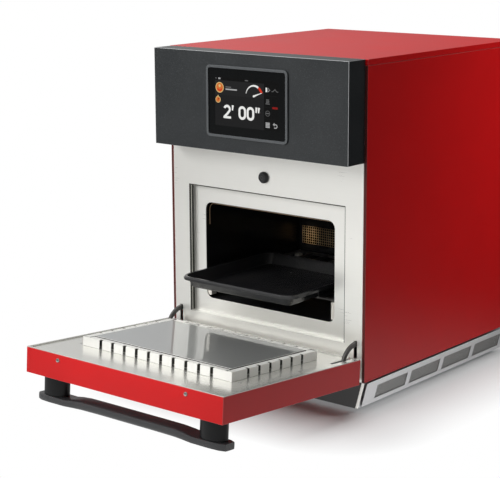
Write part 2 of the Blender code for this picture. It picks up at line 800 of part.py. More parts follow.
def door_shell():
    skin_top = HINGE_FROM_RIM - DOOR_SHEET - SEAT_GAP
    skin = pan(
        "door_skin", both_ways(HALF_BODY), DOOR_Y, (DOOR_OUTER, skin_top),
        "+z", DOOR_SHEET, "red_powder_coat", DOOR
    )
    cut(skin, arm_channels("skin_channels"))
    inside = DOOR_SHEET + SEAT_GAP
    field_y = (DOOR_Y[0] + inside, DOOR_Y[1] - inside)
    panel = block(
        "door_inner_panel",
        both_ways(HALF_BODY - inside),
        field_y,
        (PANEL_LOW, HINGE_FROM_RIM - DOOR_SHEET / 2),
        "stainless",
        DOOR,
    )
    flange = block(
        "flange", both_ways(HALF_BODY), DOOR_Y,
        (HINGE_FROM_RIM - DOOR_SHEET, HINGE_FROM_RIM), "stainless", DOOR
    )
    field = block(
        "field",
        both_ways(HALF_BODY - DOOR_RIM_WIDTH),
        (DOOR_Y[0] + DOOR_RIM_WIDTH, DOOR_Y[1] - DOOR_RIM_WIDTH),
        (FIELD_TOP, HINGE_FROM_RIM + OVERRUN),
        "stainless",
        DOOR,
    )
    join(panel, flange)
    cut(panel, field, arm_channels("panel_channels"))
    bracket_half = ARM_THICK / 2 + ARM_SIDE_GAP + SEAT_GAP + BRACKET_SHEET
    filling = (DOOR_OUTER + inside, PANEL_LOW - SEAT_GAP)
    block(
        "door_insulation", both_ways(HINGE_X - bracket_half - SEAT_GAP), field_y,
        filling, "mineral_wool", DOOR
    )
    length = (-ARM_SWING - OVERRUN, DOOR_Y[1] - inside)
    for side, sign in SIDES:
        wide = side_span(sign, HINGE_X - bracket_half, HINGE_X + bracket_half)
        pin = side_span(sign, HINGE_X - bracket_half, HINGE_X + bracket_half + LINER_SHEET)
        bracket = pan(
            f"hinge_bracket_{side}", wide, length, filling, "+z", BRACKET_SHEET, "galvanised", DOOR
        )
        cut(bracket, arm_channels(f"bracket_channels_{side}"))
        join(bracket, rod("pin", PIN_RADIUS, pin, (0, 0, 0), "X", "cast_steel", DOOR))
    reach = (DOOR_Y[0] - SEAT_GAP - DOOR_SCREW_HEAD, DOOR_Y[0] - SEAT_GAP)
    for side, sign in SIDES:
        place = (sign * DOOR_SCREW_SPACING / 2, 0, HINGE_FROM_RIM - DOOR_SCREW_DROP)
        rod(
            f"door_screw_{side}", DOOR_SCREW_RADIUS * 4 / 5, reach, place, "Y",
            "stainless", DOOR, 12, DOOR_SCREW_RADIUS
        )


CHOKE_HALF = RECESS_HALF - CHOKE_SIDE_GAP
CHOKE_REACH = (RECESS_HIGH - RECESS_LOW) / 2 - CHOKE_END_GAP
CHOKE_Y = PIVOT_Z - (RECESS_LOW + RECESS_HIGH) / 2
CHOKE_FOOT = FIELD_TOP + SEAT_GAP
CHOKE_TOP = FIELD_TOP + CHOKE_HEIGHT


def notch_total(half, pitch):
    """How many notches fit a row, with its ends left plain."""
    return 1 + int((half * 2 - CHOKE_PLAIN_END * 2 - CHOKE_NOTCH) / pitch)


CHOKE_LONG_NOTCHES = notch_total(CHOKE_HALF, CHOKE_LONG_PITCH)
CHOKE_SHORT_NOTCHES = notch_total(CHOKE_REACH, CHOKE_SHORT_PITCH)


def choke():
    """The microwave seal: a mirror plate with a groove and a row of fingers on each side."""
    inset = CHOKE_LEDGE + CHOKE_GROOVE
    pan(
        "choke_plate",
        both_ways(CHOKE_HALF - inset),
        (CHOKE_Y - CHOKE_REACH + inset, CHOKE_Y + CHOKE_REACH - inset),
        (CHOKE_FOOT, CHOKE_TOP + PLATE_PROUD),
        "-z",
        CHOKE_SHEET,
        "stainless",
        DOOR,
    )
    strips = []
    side_strips = []
    shelves = []
    notches = []
    short = CHOKE_REACH - CHOKE_SHEET - CHOKE_CORNER_GAP
    for sign in (-1, 1):
        face = side_span(sign, CHOKE_REACH - CHOKE_SHEET, CHOKE_REACH)
        ledge = side_span(sign, CHOKE_REACH - CHOKE_LEDGE, CHOKE_REACH - CHOKE_SHEET / 2)
        notch = side_span(sign, CHOKE_REACH - CHOKE_NOTCH_REACH, CHOKE_REACH + OVERRUN)
        strips.append(finger_body("face", both_ways(CHOKE_HALF), face, (CHOKE_FOOT, CHOKE_TOP)))
        shelf = both_ways(CHOKE_HALF - CHOKE_LEDGE - CHOKE_CORNER_GAP)
        shelves.append(finger_body("ledge", shelf, ledge, (CHOKE_TOP - CHOKE_SHEET, CHOKE_TOP)))
        for count in range(CHOKE_LONG_NOTCHES):
            place = notch_span(count, CHOKE_LONG_NOTCHES, CHOKE_LONG_PITCH)
            notches.append(finger_body("notch", place, notch, NOTCH_HEIGHT))
        face = side_span(sign, CHOKE_HALF - CHOKE_SHEET, CHOKE_HALF)
        ledge = side_span(sign, CHOKE_HALF - CHOKE_LEDGE, CHOKE_HALF - CHOKE_SHEET / 2)
        notch = side_span(sign, CHOKE_HALF - CHOKE_NOTCH_REACH, CHOKE_HALF + OVERRUN)
        length = both_ways(CHOKE_REACH - CHOKE_SHEET / 2)
        side_strips.append(finger_body("side", face, length, (CHOKE_FOOT, CHOKE_TOP)))
        shelves.append(finger_body("ledge", ledge, both_ways(short), (CHOKE_TOP - CHOKE_SHEET, CHOKE_TOP)))
        for count in range(CHOKE_SHORT_NOTCHES):
            place = notch_span(count, CHOKE_SHORT_NOTCHES, CHOKE_SHORT_PITCH)
            notches.append(finger_body("notch", notch, place, NOTCH_HEIGHT))
    fingers = gather("choke_fingers", strips)
    join(fingers, gather("choke_sides", side_strips), gather("choke_ledges", shelves))
    cut(fingers, gather("choke_notches", notches))


NOTCH_HEIGHT = (CHOKE_FOOT - OVERRUN, CHOKE_TOP + OVERRUN)


def finger_body(name, x, y, z):
    return block(name, x, (y[0] + CHOKE_Y, y[1] + CHOKE_Y), z, "stainless", DOOR)


def notch_span(count, total, pitch):
    """The span of one notch in a centred row of notches."""
    centre = (count - (total - 1) / 2) * pitch
    return (centre - CHOKE_NOTCH / 2, centre + CHOKE_NOTCH / 2)


def handle():
    y = DOOR_Y[0] + HANDLE_FROM_EDGE
    low = DOOR_OUTER - HANDLE_STANDOFF
    for side, sign in SIDES:
        post = [(POST_LENGTH / 2 * math.cos(a), POST_WIDTH / 2 * math.sin(a)) for a in whole_turn(32)]
        points = [(sign * POST_SPACING / 2 + u, y + v) for u, v in post]
        span = (low + HANDLE_SLAB + SEAT_GAP, DOOR_OUTER - SEAT_GAP)
        outline(f"handle_post_{side}", points, span, "Z", "black_plastic", DOOR)
    handle_bar(y, low)


def whole_turn(steps):
    return [2 * math.pi * step / steps for step in range(steps)]


# Shares of half the bar's length, and at each the shares of width and of the rise from slab to grip
BAR_STATION_SHARES = (0, 0.3, 0.5, 0.6, 0.68, 0.86, 0.95, 1)
BAR_WIDTH_SHARES = (0.94, 0.94, 0.95, 0.98, 1, 1, 0.9, 0.62)
BAR_RISE_SHARES = (1, 1, 0.9, 0.5, 0, 0, 0, 0)
BAR_ROUND_POWERS = (2.6, 2.6, 2.9, 4, 7, 8, 8, 8)
BAR_SIDES = 20


def handle_bar(y, low):
    """The grip: flat slabs under the posts that swell into a rounded bar between them."""
    loft = bmesh.new()
    stations = list(zip(BAR_STATION_SHARES, BAR_WIDTH_SHARES, BAR_RISE_SHARES, BAR_ROUND_POWERS))
    left = [(-share, *rest) for share, *rest in reversed(stations[1:])]
    rings = []
    for share, width, rise, power in left + stations:
        thick = HANDLE_SLAB + (HANDLE_GRIP - HANDLE_SLAB) * rise
        ring = []
        for angle in whole_turn(BAR_SIDES):
            u = math.copysign(abs(math.cos(angle)) ** (2 / power), math.cos(angle))
            v = math.copysign(abs(math.sin(angle)) ** (2 / power), math.sin(angle))
            place = (share * HANDLE_LENGTH / 2, u * width * HANDLE_WIDTH / 2, thick / 2 * (1 + v))
            ring.append(loft.verts.new(place))
        rings.append(ring)
    for ring, following in zip(rings, rings[1:]):
        for index in range(BAR_SIDES):
            after = (index + 1) % BAR_SIDES
            loft.faces.new((ring[index], ring[after], following[after], following[index]))
    loft.faces.new(rings[0])
    loft.faces.new(rings[-1][::-1])
    bmesh.ops.recalc_face_normals(loft, faces=loft.faces)
    bar = add_object("handle_bar", mesh_from("handle_bar", loft), (0, y, low), "black_plastic", DOOR)
    smooth(bar)


def fascia():
    """The control box on the front, with the touch screen in its raised bezel."""
    shell = pan(
        "control_fascia",
        both_ways(FASCIA_WIDTH / 2),
        (-FASCIA_DEPTH, SIDE_SETBACK - SEAM_GAP),
        (FASCIA_FOOT, BODY_HEIGHT),
        "+y",
        FASCIA_WALL,
        "anthracite_coat",
    )
    foot = FASCIA_FOOT + BEZEL_FOOT
    across = both_ways(BEZEL_WIDTH / 2)
    height = (foot, foot + BEZEL_HEIGHT)
    window_x = both_ways(BEZEL_WIDTH / 2 - BEZEL_BAND)
    window_z = (height[0] + BEZEL_BAND, height[1] - BEZEL_BAND)
    inner = rounded_rectangle(window_z, window_x, BEZEL_CORNER - BEZEL_BAND)
    bezel = outline(
        "screen_bezel",
        rounded_rectangle(height, across, BEZEL_CORNER),
        (-FASCIA_DEPTH - BEZEL_PROUD, -FASCIA_DEPTH - SEAT_GAP),
        "Y",
        "anthracite_coat",
    )
    reach = (-FASCIA_DEPTH - BEZEL_PROUD - OVERRUN, -FASCIA_DEPTH + FASCIA_WALL + OVERRUN)
    cut(bezel, outline("bezel_window", inner, reach, "Y", "anthracite_coat"))
    cut(shell, outline("fascia_window", inner, reach, "Y", "anthracite_coat"))
    glass_x = both_ways(window_x[1] - SEAT_GAP)
    glass_z = (window_z[0] + SEAT_GAP, window_z[1] - SEAT_GAP)
    glass_front = -FASCIA_DEPTH - GLASS_PROUD
    glass = (glass_front, glass_front + GLASS_THICK)
    outline(
        "touch_glass",
        rounded_rectangle(glass_z, glass_x, BEZEL_CORNER - BEZEL_BAND - SEAT_GAP),
        glass,
        "Y",
        "screen_glass",
    )
    centre = middle(height)
    display = (glass[1] + SEAT_GAP, glass[1] + SEAT_GAP + DISPLAY_THICK)
    display_z = (centre - DISPLAY_HEIGHT / 2, centre + DISPLAY_HEIGHT / 2)
    unit = block("display_board", both_ways(DISPLAY_WIDTH / 2), display, display_z, "circuit_board")
    for x, z, size in CONTROL_CHIPS:
        side = size * DISPLAY_HEIGHT / 2
        chip_x = (x * DISPLAY_WIDTH - side, x * DISPLAY_WIDTH + side)
        chip_z = (centre + z * DISPLAY_HEIGHT - side, centre + z * DISPLAY_HEIGHT + side)
        chip_y = (display[1] - BOARD_THICK, display[1] + BOARD_THICK * 2)
        join(unit, block("chip", chip_x, chip_y, chip_z, "circuit_board"))


# Chips on the display board: shares of its width and height, and of its half height
CONTROL_CHIPS = ((-0.25, 0.12, 0.3), (0.2, -0.15, 0.22), (0.3, 0.25, 0.14))


LINER_OUT = HALF_CAVITY + LINER_SHEET
BACK_OUT = CAVITY_BACK + LINER_SHEET


def cavity():
    """The cooking chamber: two side walls, the back with its air intake, and the ceramic floor."""
    for side, sign in SIDES:
        block(
            f"cavity_wall_{side}",
            side_span(sign, HALF_CAVITY, LINER_OUT),
            (CAVITY_FRONT, BACK_OUT),
            (WALL_FOOT, CEILING_Z),
            "black_enamel",
        )
    back = block(
        "cavity_back",
        both_ways(HALF_CAVITY - SEAT_GAP),
        (CAVITY_BACK, BACK_OUT),
        (FLOOR_Z + SEAT_GAP, CEILING_Z - SEAT_GAP),
        "black_enamel",
    )
    tall = CEILING_Z - FLOOR_Z
    foot = FLOOR_Z + tall * INTAKE_FOOT_SHARE
    window = (foot, foot + tall * INTAKE_HEIGHT_SHARE)
    through = (CAVITY_BACK - OVERRUN, BACK_OUT + OVERRUN)
    pitch = (CAVITY_WIDTH - INTAKE_SIDE * 2) / INTAKE_SLOTS
    slots = []
    for count in range(INTAKE_SLOTS):
        centre = (count - (INTAKE_SLOTS - 1) / 2) * pitch
        slots.append(
            block("slot", (centre - pitch / 3, centre + pitch / 3), through, window, "black_enamel")
        )
    cut(back, gather("intake_slots", slots))
    floor_depth = (CAVITY_FRONT, CAVITY_BACK - SEAT_GAP)
    block("ceramic_floor", both_ways(HALF_CAVITY - SEAT_GAP), floor_depth, (WALL_FOOT, FLOOR_Z), "ceramic")
    jet_plate()
    front = CAVITY_FRONT + LINER_SHEET
    rear = CAVITY_BACK - LINER_SHEET
    top = TRAY_TOP - TRAY_DEPTH - RACK_WIRE * 2 - SEAT_GAP * 2
    height = (SUPPORT_FOOT, top)
    outer = HALF_CAVITY - SEAT_GAP
    for side, sign in SIDES:
        wide = side_span(sign, outer - SUPPORT_THICK, outer)
        support = block(f"rack_support_{side}", wide, (front, front + SUPPORT_WIDTH), height, "ceramic")
        rail = side_span(sign, outer - SUPPORT_THICK / 2, outer)
        join(
            support,
            block("rear_post", wide, (rear - SUPPORT_WIDTH, rear), height, "ceramic"),
            block(
                "rail", rail, (front + OVERRUN, rear - OVERRUN),
                (SUPPORT_FOOT + OVERRUN, top - SUPPORT_WIDTH), "ceramic"
            ),
        )


def jet_plate():
    """The perforated ceiling that the hot air is blown down through."""
    plate = block(
        "jet_plate",
        both_ways(LINER_OUT),
        (CAVITY_FRONT, BACK_OUT),
        (CEILING_Z + SEAT_GAP, CEILING_Z + SEAT_GAP + LINER_SHEET),
        "stainless",
    )
    holes = []
    height = (CEILING_Z - OVERRUN, CEILING_Z + OVERRUN)
    for row in range(JET_ROWS):
        for column in range(JET_COLUMNS):
            x = (column - (JET_COLUMNS - 1) / 2) * CAVITY_WIDTH / (JET_COLUMNS + 1)
            y = CAVITY_FRONT + (row + 1) * CAVITY_DEPTH / (JET_ROWS + 1)
            holes.append(rod("jet", JET_RADIUS, height, (x, y, 0), "Z", "stainless", ORIGIN, 8))
    cut(plate, gather("jets", holes))


def rack_and_tray():
    centre = TRAY_TOP - TRAY_DEPTH - SEAT_GAP - RACK_WIRE
    half = HALF_CAVITY - RACK_WIRE - SEAT_GAP * 4
    front = CAVITY_FRONT + RACK_WIRE + SEAT_GAP * 4
    rear = CAVITY_BACK - RACK_WIRE - SEAT_GAP * 4
    wires = []
    for x in both_ways(half):
        reach = (front - RACK_WIRE, rear + RACK_WIRE)
        wires.append(rod("wire", RACK_WIRE, reach, (x, 0, centre), "Y", "cast_steel", ORIGIN, 10))
    for y in (front + RACK_WIRE, rear - RACK_WIRE):
        wires.append(rod("wire", RACK_WIRE, both_ways(half), (0, y, centre), "X", "cast_steel", ORIGIN, 10))
    for count in range(RACK_RUNS):
        x = (count - (RACK_RUNS - 1) / 2) * half * 2 / (RACK_RUNS + 1)
        wires.append(rod("wire", RACK_WIRE, (front, rear), (x, 0, centre), "Y", "cast_steel", ORIGIN, 10))
    rack = wires[0]
    rack.name = "wire_rack"
    join(rack, *wires[1:])
    tray()


def tray():
    """A drawn pan: flat bottom, sloping wall, round corners and a flat rim."""
    half = TRAY_WIDTH / 2
    steps = (
        (TRAY_DRAFT + TRAY_RIM + TRAY_WALL * 2, -TRAY_DEPTH),
        (TRAY_DRAFT + TRAY_RIM, TRAY_WALL * 2 - TRAY_DEPTH),
        (TRAY_RIM, -TRAY_WALL * 2),
        (TRAY_RIM - TRAY_WALL, -TRAY_WALL),
        (TRAY_WALL * 2, -TRAY_WALL),
        (TRAY_WALL, -TRAY_WALL * 2),
        (TRAY_WALL, -TRAY_WALL * 4),
    )
    solid = bmesh.new()
    rings = []
    for inset, z in steps:
        ring = rounded_rectangle(
            both_ways(half - inset), (inset, TRAY_LENGTH - inset), TRAY_CORNER - inset, 4
        )
        rings.append([solid.verts.new((x, y, z)) for x, y in ring])
    for ring, following in zip(rings, rings[1:]):
        for index in range(len(ring)):
            after = (index + 1) % len(ring)
            solid.faces.new((ring[index], ring[after], following[after], following[index]))
    solid.faces.new(rings[0][::-1])
    pan_body = add_object("baking_tray", mesh_from("baking_tray", solid), (0, 0, 0), "black_enamel", TRAY)
    shell = pan_body.modifiers.new("shell", "SOLIDIFY")
    shell.thickness = TRAY_WALL
    shell.offset = -1
    shell.use_even_offset = True
    smooth(pan_body)


def blades(name, count, inner, outer, span, thick, twist, axis, finish, parent):
    """Flat blades set round an axis from inner to outer radius, each turned by twist degrees."""
    solid = bmesh.new()
    for step in range(count):
        made = bmesh.ops.create_cube(solid, size=1)
        size = (outer - inner, thick, span[1] - span[0])
        bmesh.ops.scale(solid, vec=size, verts=made["verts"])
        lean_over = Matrix.Rotation(math.radians(twist), 4, "X")
        reach = Matrix.Translation((middle((inner, outer)), 0, middle(span)))
        round_axis = Matrix.Rotation(2 * math.pi * step / count, 4, "Z")
        bmesh.ops.transform(
            solid, matrix=AXIS_TURN[axis] @ round_axis @ reach @ lean_over, verts=made["verts"]
        )
    return add_object(name, mesh_from(name, solid), (0, 0, 0), finish, parent)


DUCT_FOOT = CEILING_Z + LINER_SHEET + SEAT_GAP * 2
DUCT_FRONT = BACK_OUT + SEAT_GAP
WRAP_IN = LINER_OUT + SEAT_GAP
LEAD_X = 10 * MM
LEAD_REACH = 9 * MM


def hot_air():
    """The duct behind and above the cavity, its fan and heater, and the insulation round it."""
    inner = LINER_SHEET
    outside = (
        (CAVITY_FRONT, DUCT_FOOT),
        (CAVITY_FRONT, PLENUM_TOP),
        (PLENUM_BACK, PLENUM_TOP),
        (PLENUM_BACK, WALL_FOOT),
        (DUCT_FRONT, WALL_FOOT),
        (DUCT_FRONT, DUCT_FOOT),
    )
    inside = (
        (CAVITY_FRONT + inner, DUCT_FOOT - OVERRUN),
        (CAVITY_FRONT + inner, PLENUM_TOP - inner),
        (PLENUM_BACK - inner, PLENUM_TOP - inner),
        (PLENUM_BACK - inner, WALL_FOOT + inner),
        (DUCT_FRONT - OVERRUN, WALL_FOOT + inner),
        (DUCT_FRONT - OVERRUN, DUCT_FOOT - OVERRUN),
    )
    duct = outline("hot_air_duct", outside, both_ways(LINER_OUT), "X", "galvanised")
    cut(duct, outline("duct_space", inside, both_ways(LINER_OUT - inner), "X", "galvanised"))
    wall = (PLENUM_BACK - OVERRUN, PLENUM_BACK + OVERRUN)
    low = FAN_Z - HEATER_RADIUS
    holes = [rod("hole", SHAFT_RADIUS + PIN_CLEARANCE * 2, wall, (0, 0, FAN_Z), "Y", "galvanised")]
    for x in both_ways(LEAD_X):
        holes.append(rod("hole", HEATER_TUBE + SEAT_GAP, wall, (x, 0, low), "Y", "galvanised"))
    cut(duct, gather("duct_holes", holes))
    heater(low)
    fan()
    motor()
    wrap_out = WRAP_IN + INSULATION
    top_in = PLENUM_TOP + SEAT_GAP
    corner = rounded_rectangle((WALL_FOOT - wrap_out, top_in + INSULATION), both_ways(wrap_out), INSULATION)
    wrap = outline("insulation_wrap", corner, (CAVITY_FRONT, PLENUM_BACK), "Y", "mineral_wool")
    reach = (CAVITY_FRONT - OVERRUN, PLENUM_BACK + OVERRUN)
    space = block("wrap_space", both_ways(WRAP_IN), reach, (-OVERRUN, top_in), "mineral_wool")
    under = block(
        "wrap_under", both_ways(wrap_out + OVERRUN), reach, (-INSULATION * 3, WALL_FOOT), "mineral_wool"
    )
    cut(wrap, space, under)


def heater(low):
    """A round tubular element about the fan, with both ends led out through the back."""
    ring_y = BACK_OUT + FAN_DEPTH
    open_angle = math.degrees(math.asin(LEAD_X / HEATER_RADIUS))
    ring = arc((0, FAN_Z), HEATER_RADIUS, 270 + open_angle, 630 - open_angle, 28)
    end = PLENUM_BACK + LEAD_REACH
    points = [(LEAD_X, end, low)] + [(x, ring_y, z) for x, z in ring] + [(-LEAD_X, end, low)]
    tube("heater_element", points, HEATER_TUBE, "cast_steel")


def fan():
    """The blower: a back disc with flat blades on a hub and shaft."""
    start = SEAT_GAP + OVERRUN * 2
    depth = (start, start + FAN_DEPTH)
    wheel = rod("convection_fan", FAN_HUB, depth, (0, 0, 0), "Y", "stainless", FAN)
    disc = (depth[1] - LINER_SHEET, depth[1] + LINER_SHEET)
    end = PLENUM_BACK - BACK_OUT + MOTOR_LENGTH / 2
    vanes = (depth[0] + LINER_SHEET, depth[1])
    join(
        wheel,
        rod("fan_disc", FAN_RADIUS, disc, (0, 0, 0), "Y", "stainless", FAN, 32),
        blades(
            "fan_blades", FAN_BLADES, FAN_HUB - LINER_SHEET, FAN_RADIUS - LINER_SHEET,
            vanes, LINER_SHEET, 0, "Y", "stainless", FAN
        ),
        rod("fan_shaft", SHAFT_RADIUS, (depth[1] - OVERRUN, end), (0, 0, 0), "Y", "stainless", FAN, 16),
    )


def motor():
    start = PLENUM_BACK + SEAT_GAP
    end = start + MOTOR_LENGTH
    plate = block(
        "fan_motor",
        both_ways(MOTOR_RADIUS * 5 / 4),
        (start, start + BRACKET_SHEET),
        (FAN_Z - MOTOR_RADIUS * 5 / 4, FAN_Z + MOTOR_RADIUS * 5 / 4),
        "cast_steel",
    )
    body = rod(
        "motor_body", MOTOR_RADIUS, (start + BRACKET_SHEET / 2, end), (0, 0, FAN_Z), "Y", "cast_steel"
    )
    bell = rod(
        "motor_bell", MOTOR_RADIUS * 3 / 4, (end - OVERRUN, end + OVERRUN * 2),
        (0, 0, FAN_Z), "Y", "cast_steel"
    )
    bore = rod(
        "motor_bore",
        SHAFT_RADIUS + PIN_CLEARANCE,
        (start - OVERRUN, start + MOTOR_LENGTH / 2 + OVERRUN),
        (0, 0, FAN_Z),
        "Y",
        "cast_steel",
    )
    join(plate, body, bell)
    cut(plate, bore)


WELL_FOOT = WALL_FOOT - SEAT_GAP - STIRRER_BOX_HEIGHT
STIRRER_Y = CAVITY_FRONT + CAVITY_DEPTH / 2
PORT_START = STIRRER_Y + STIRRER_BOX_HALF / 2
PORT_LENGTH = 34 * MM
GUIDE_START = PORT_START - LINER_SHEET * 3
GUIDE_REAR_GAP = 80 * MM
GUIDE_END = BODY_DEPTH - GUIDE_REAR_GAP
MAGNETRON_WIDTH = 88 * MM
MAGNETRON_LENGTH = 76 * MM
ANTENNA_RADIUS = 9 * MM
ANTENNA_HEIGHT = 20 * MM
STIRRER_MOTOR = 56 * MM
STIRRER_MOTOR_HEIGHT = 34 * MM


def microwave_floor():
    """The steel floor under the ceramic plate, with the well that the mode stirrer turns in."""
    top = WALL_FOOT - SEAT_GAP
    floor = block(
        "cavity_floor", both_ways(LINER_OUT), (CAVITY_FRONT, DUCT_FRONT - SEAT_GAP),
        (top - LINER_SHEET, top), "galvanised"
    )
    half = STIRRER_BOX_HALF
    well_y = (STIRRER_Y - half, STIRRER_Y + half)
    well = block("well", both_ways(half), well_y, (WELL_FOOT, top - LINER_SHEET / 2), "galvanised")
    inner = half - LINER_SHEET
    inner_y = (STIRRER_Y - inner, STIRRER_Y + inner)
    space = block(
        "well_space", both_ways(inner), inner_y, (WELL_FOOT + LINER_SHEET, top + OVERRUN), "galvanised"
    )
    through = (WELL_FOOT - OVERRUN, WELL_FOOT + OVERRUN)
    hole = rod(
        "stirrer_hole", SHAFT_RADIUS + PIN_CLEARANCE * 2, through, (0, STIRRER_Y, 0), "Z", "galvanised"
    )
    join(floor, well)
    cut(floor, space, hole, feed_port("floor_port", through))
    sweep = (FLOOR_Z - WALL_FOOT + SEAT_GAP + STIRRER_BOX_HEIGHT) / 2
    vane = (-sweep - LINER_SHEET, -sweep)
    hub = rod(
        "mode_stirrer", SHAFT_RADIUS * 2, (-sweep - OVERRUN, -sweep + LINER_SHEET),
        (0, 0, 0), "Z", "stainless", STIRRER
    )
    shaft_end = WELL_FOOT - FLOOR_Z - STIRRER_MOTOR_HEIGHT / 2
    join(
        hub,
        blades(
            "stirrer_blades", STIRRER_BLADE_COUNT, SHAFT_RADIUS, STIRRER_RADIUS, vane,
            STIRRER_BLADE_WIDTH, 0, "Z", "stainless", STIRRER
        ),
        rod("stirrer_shaft", SHAFT_RADIUS, (shaft_end, -sweep), (0, 0, 0), "Z", "stainless", STIRRER, 16),
    )
    half = STIRRER_MOTOR / 2
    height = (WELL_FOOT - SEAT_GAP - STIRRER_MOTOR_HEIGHT, WELL_FOOT - SEAT_GAP)
    motor_box = block(
        "stirrer_motor", both_ways(half), (STIRRER_Y - half, STIRRER_Y + half), height, "cast_steel"
    )
    bore = (height[0] + STIRRER_MOTOR_HEIGHT / 4, height[1] + OVERRUN)
    cut(
        motor_box,
        rod("stirrer_bore", SHAFT_RADIUS + PIN_CLEARANCE, bore, (0, STIRRER_Y, 0), "Z", "cast_steel")
    )


def feed_port(name, height):
    return block(
        name, both_ways(WAVEGUIDE_WIDTH / 2 - LINER_SHEET * 4),
        (PORT_START, PORT_START + PORT_LENGTH), height, "galvanised"
    )


def microwave_feed():
    """The magnetron, and the waveguide that carries its power forward to the well."""
    top = WELL_FOOT - SEAT_GAP
    foot = top - WAVEGUIDE_HEIGHT
    half = WAVEGUIDE_WIDTH / 2
    guide = block("waveguide", both_ways(half), (GUIDE_START, GUIDE_END), (foot, top), "galvanised")
    space = block(
        "guide_space",
        both_ways(half - LINER_SHEET),
        (GUIDE_START + LINER_SHEET, GUIDE_END - LINER_SHEET),
        (foot + LINER_SHEET, top - LINER_SHEET),
        "galvanised",
    )
    antenna_y = GUIDE_END - LINER_SHEET - MAGNETRON_LENGTH / 2
    hole = rod(
        "antenna_hole",
        ANTENNA_RADIUS + SEAT_GAP,
        (foot - OVERRUN, foot + OVERRUN),
        (0, antenna_y, 0),
        "Z",
        "galvanised",
    )
    cut(guide, space, feed_port("guide_port", (top - OVERRUN, top + OVERRUN)), hole)
    height = (foot - SEAT_GAP - MAGNETRON_HEIGHT, foot - SEAT_GAP)
    length = (antenna_y - MAGNETRON_LENGTH / 2, antenna_y + MAGNETRON_LENGTH / 2)
    tube_body = block("magnetron", both_ways(MAGNETRON_WIDTH / 2), length, height, "galvanised")
    fins = []
    for count in range(MAGNETRON_FINS):
        z = height[0] + (count + 1) * MAGNETRON_HEIGHT / (MAGNETRON_FINS + 1)
        fin = (z - LINER_SHEET, z + LINER_SHEET)
        for sign in (-1, 1):
            across_fin = side_span(sign, MAGNETRON_WIDTH / 4, MAGNETRON_WIDTH / 2 - LINER_SHEET)
            through = (length[0] - OVERRUN, length[1] + OVERRUN)
            fins.append(block("fin", across_fin, through, fin, "galvanised"))
    cut(tube_body, gather("fin_gaps", fins))
    antenna = (height[1] - OVERRUN, height[1] + SEAT_GAP + LINER_SHEET + ANTENNA_HEIGHT)
    join(
        tube_body, rod("antenna", ANTENNA_RADIUS, antenna, (0, antenna_y, 0), "Z", "galvanised", ORIGIN, 20)
    )


STIRRER_BLADE_COUNT = 3
STIRRER_BLADE_WIDTH = 34 * MM
MAGNETRON_FINS = 5
# Shares of the transformer's size taken by its core and its windings
CORE_SHARE = 0.36
WINDING_SHARE = 0.74


def high_voltage():
    """The mains transformer for the magnetron: a laminated core through two windings."""
    foot = LINER_SHEET + SEAT_GAP
    centre = Vector(
        (TRANSFORMER_FROM_SIDE - HALF_BODY, TRANSFORMER_FROM_FRONT, foot + TRANSFORMER_HEIGHT / 2)
    )
    x = around(centre.x, TRANSFORMER_WIDTH * CORE_SHARE)
    y = around(centre.y, TRANSFORMER_LENGTH / 2)
    core = block("transformer", x, y, (foot, foot + TRANSFORMER_HEIGHT), "cast_steel")
    wide = around(centre.x, TRANSFORMER_WIDTH / 2)
    winding = around(centre.y, TRANSFORMER_LENGTH * WINDING_SHARE / 2)
    z = around(centre.z, TRANSFORMER_HEIGHT * CORE_SHARE)
    join(core, block("winding", wide, winding, z, "copper", ORIGIN, OVERRUN))


def cooling():
    """The fan that blows cool air from the rear over the magnetron."""
    half = COOLING_FRAME / 2
    depth = both_ways(COOLING_DEPTH / 2)
    frame = block("cooling_fan_frame", both_ways(half), depth, both_ways(half), "black_plastic", COOLER)
    bore = half - BRACKET_SHEET * 2
    cut(frame, rod(
        "cooling_bore", bore, (depth[0] - OVERRUN, depth[1] + OVERRUN),
        (0, 0, 0), "Y", "black_plastic", COOLER, 40
    ))
    strut = (depth[1] - BRACKET_SHEET, depth[1])
    join(
        frame,
        block(
            "strut", both_ways(half - BRACKET_SHEET), strut,
            both_ways(BRACKET_SHEET), "black_plastic", COOLER
        ),
        block(
            "cross_strut", both_ways(BRACKET_SHEET), strut,
            both_ways(half - BRACKET_SHEET), "black_plastic", COOLER
        ),
        rod(
            "fan_seat", FAN_HUB, (strut[0] - BRACKET_SHEET, strut[1]),
            (0, 0, 0), "Y", "black_plastic", COOLER
        ),
    )
    hub_depth = (depth[0] + BRACKET_SHEET, strut[0] - BRACKET_SHEET - PIN_CLEARANCE)
    hub = rod("cooling_fan", FAN_HUB, hub_depth, (0, 0, 0), "Y", "black_plastic", COOLER)
    span = both_ways(COOLING_DEPTH / 4)
    join(
        hub,
        blades(
            "cooling_blades", COOLING_BLADES, FAN_HUB - BRACKET_SHEET, bore - BRACKET_SHEET,
            span, LINER_SHEET, 40, "Y", "black_plastic", COOLER
        ),
    )


# Parts on the power board: x, y and height as shares of the board's length, and the radius
BOARD_CAPACITORS = (
    (-0.36, -0.3, 0.2, 0.06), (-0.36, 0.12, 0.2, 0.06), (-0.12, 0.3, 0.13, 0.045), (0.02, 0.3, 0.13, 0.045)
)
# Blocks on it: x, y, half length, half width and height, as shares of the board's length
BOARD_BLOCKS = (
    (0.28, -0.2, 0.1, 0.08, 0.18), (0.05, -0.2, 0.06, 0.12, 0.1), (0.34, 0.22, 0.07, 0.05, 0.12)
)
BOARD_LENGTH = 170 * MM
BOARD_WIDTH = 130 * MM
BOARD_FRONT = 150 * MM
SPACER_HEIGHT = 8 * MM


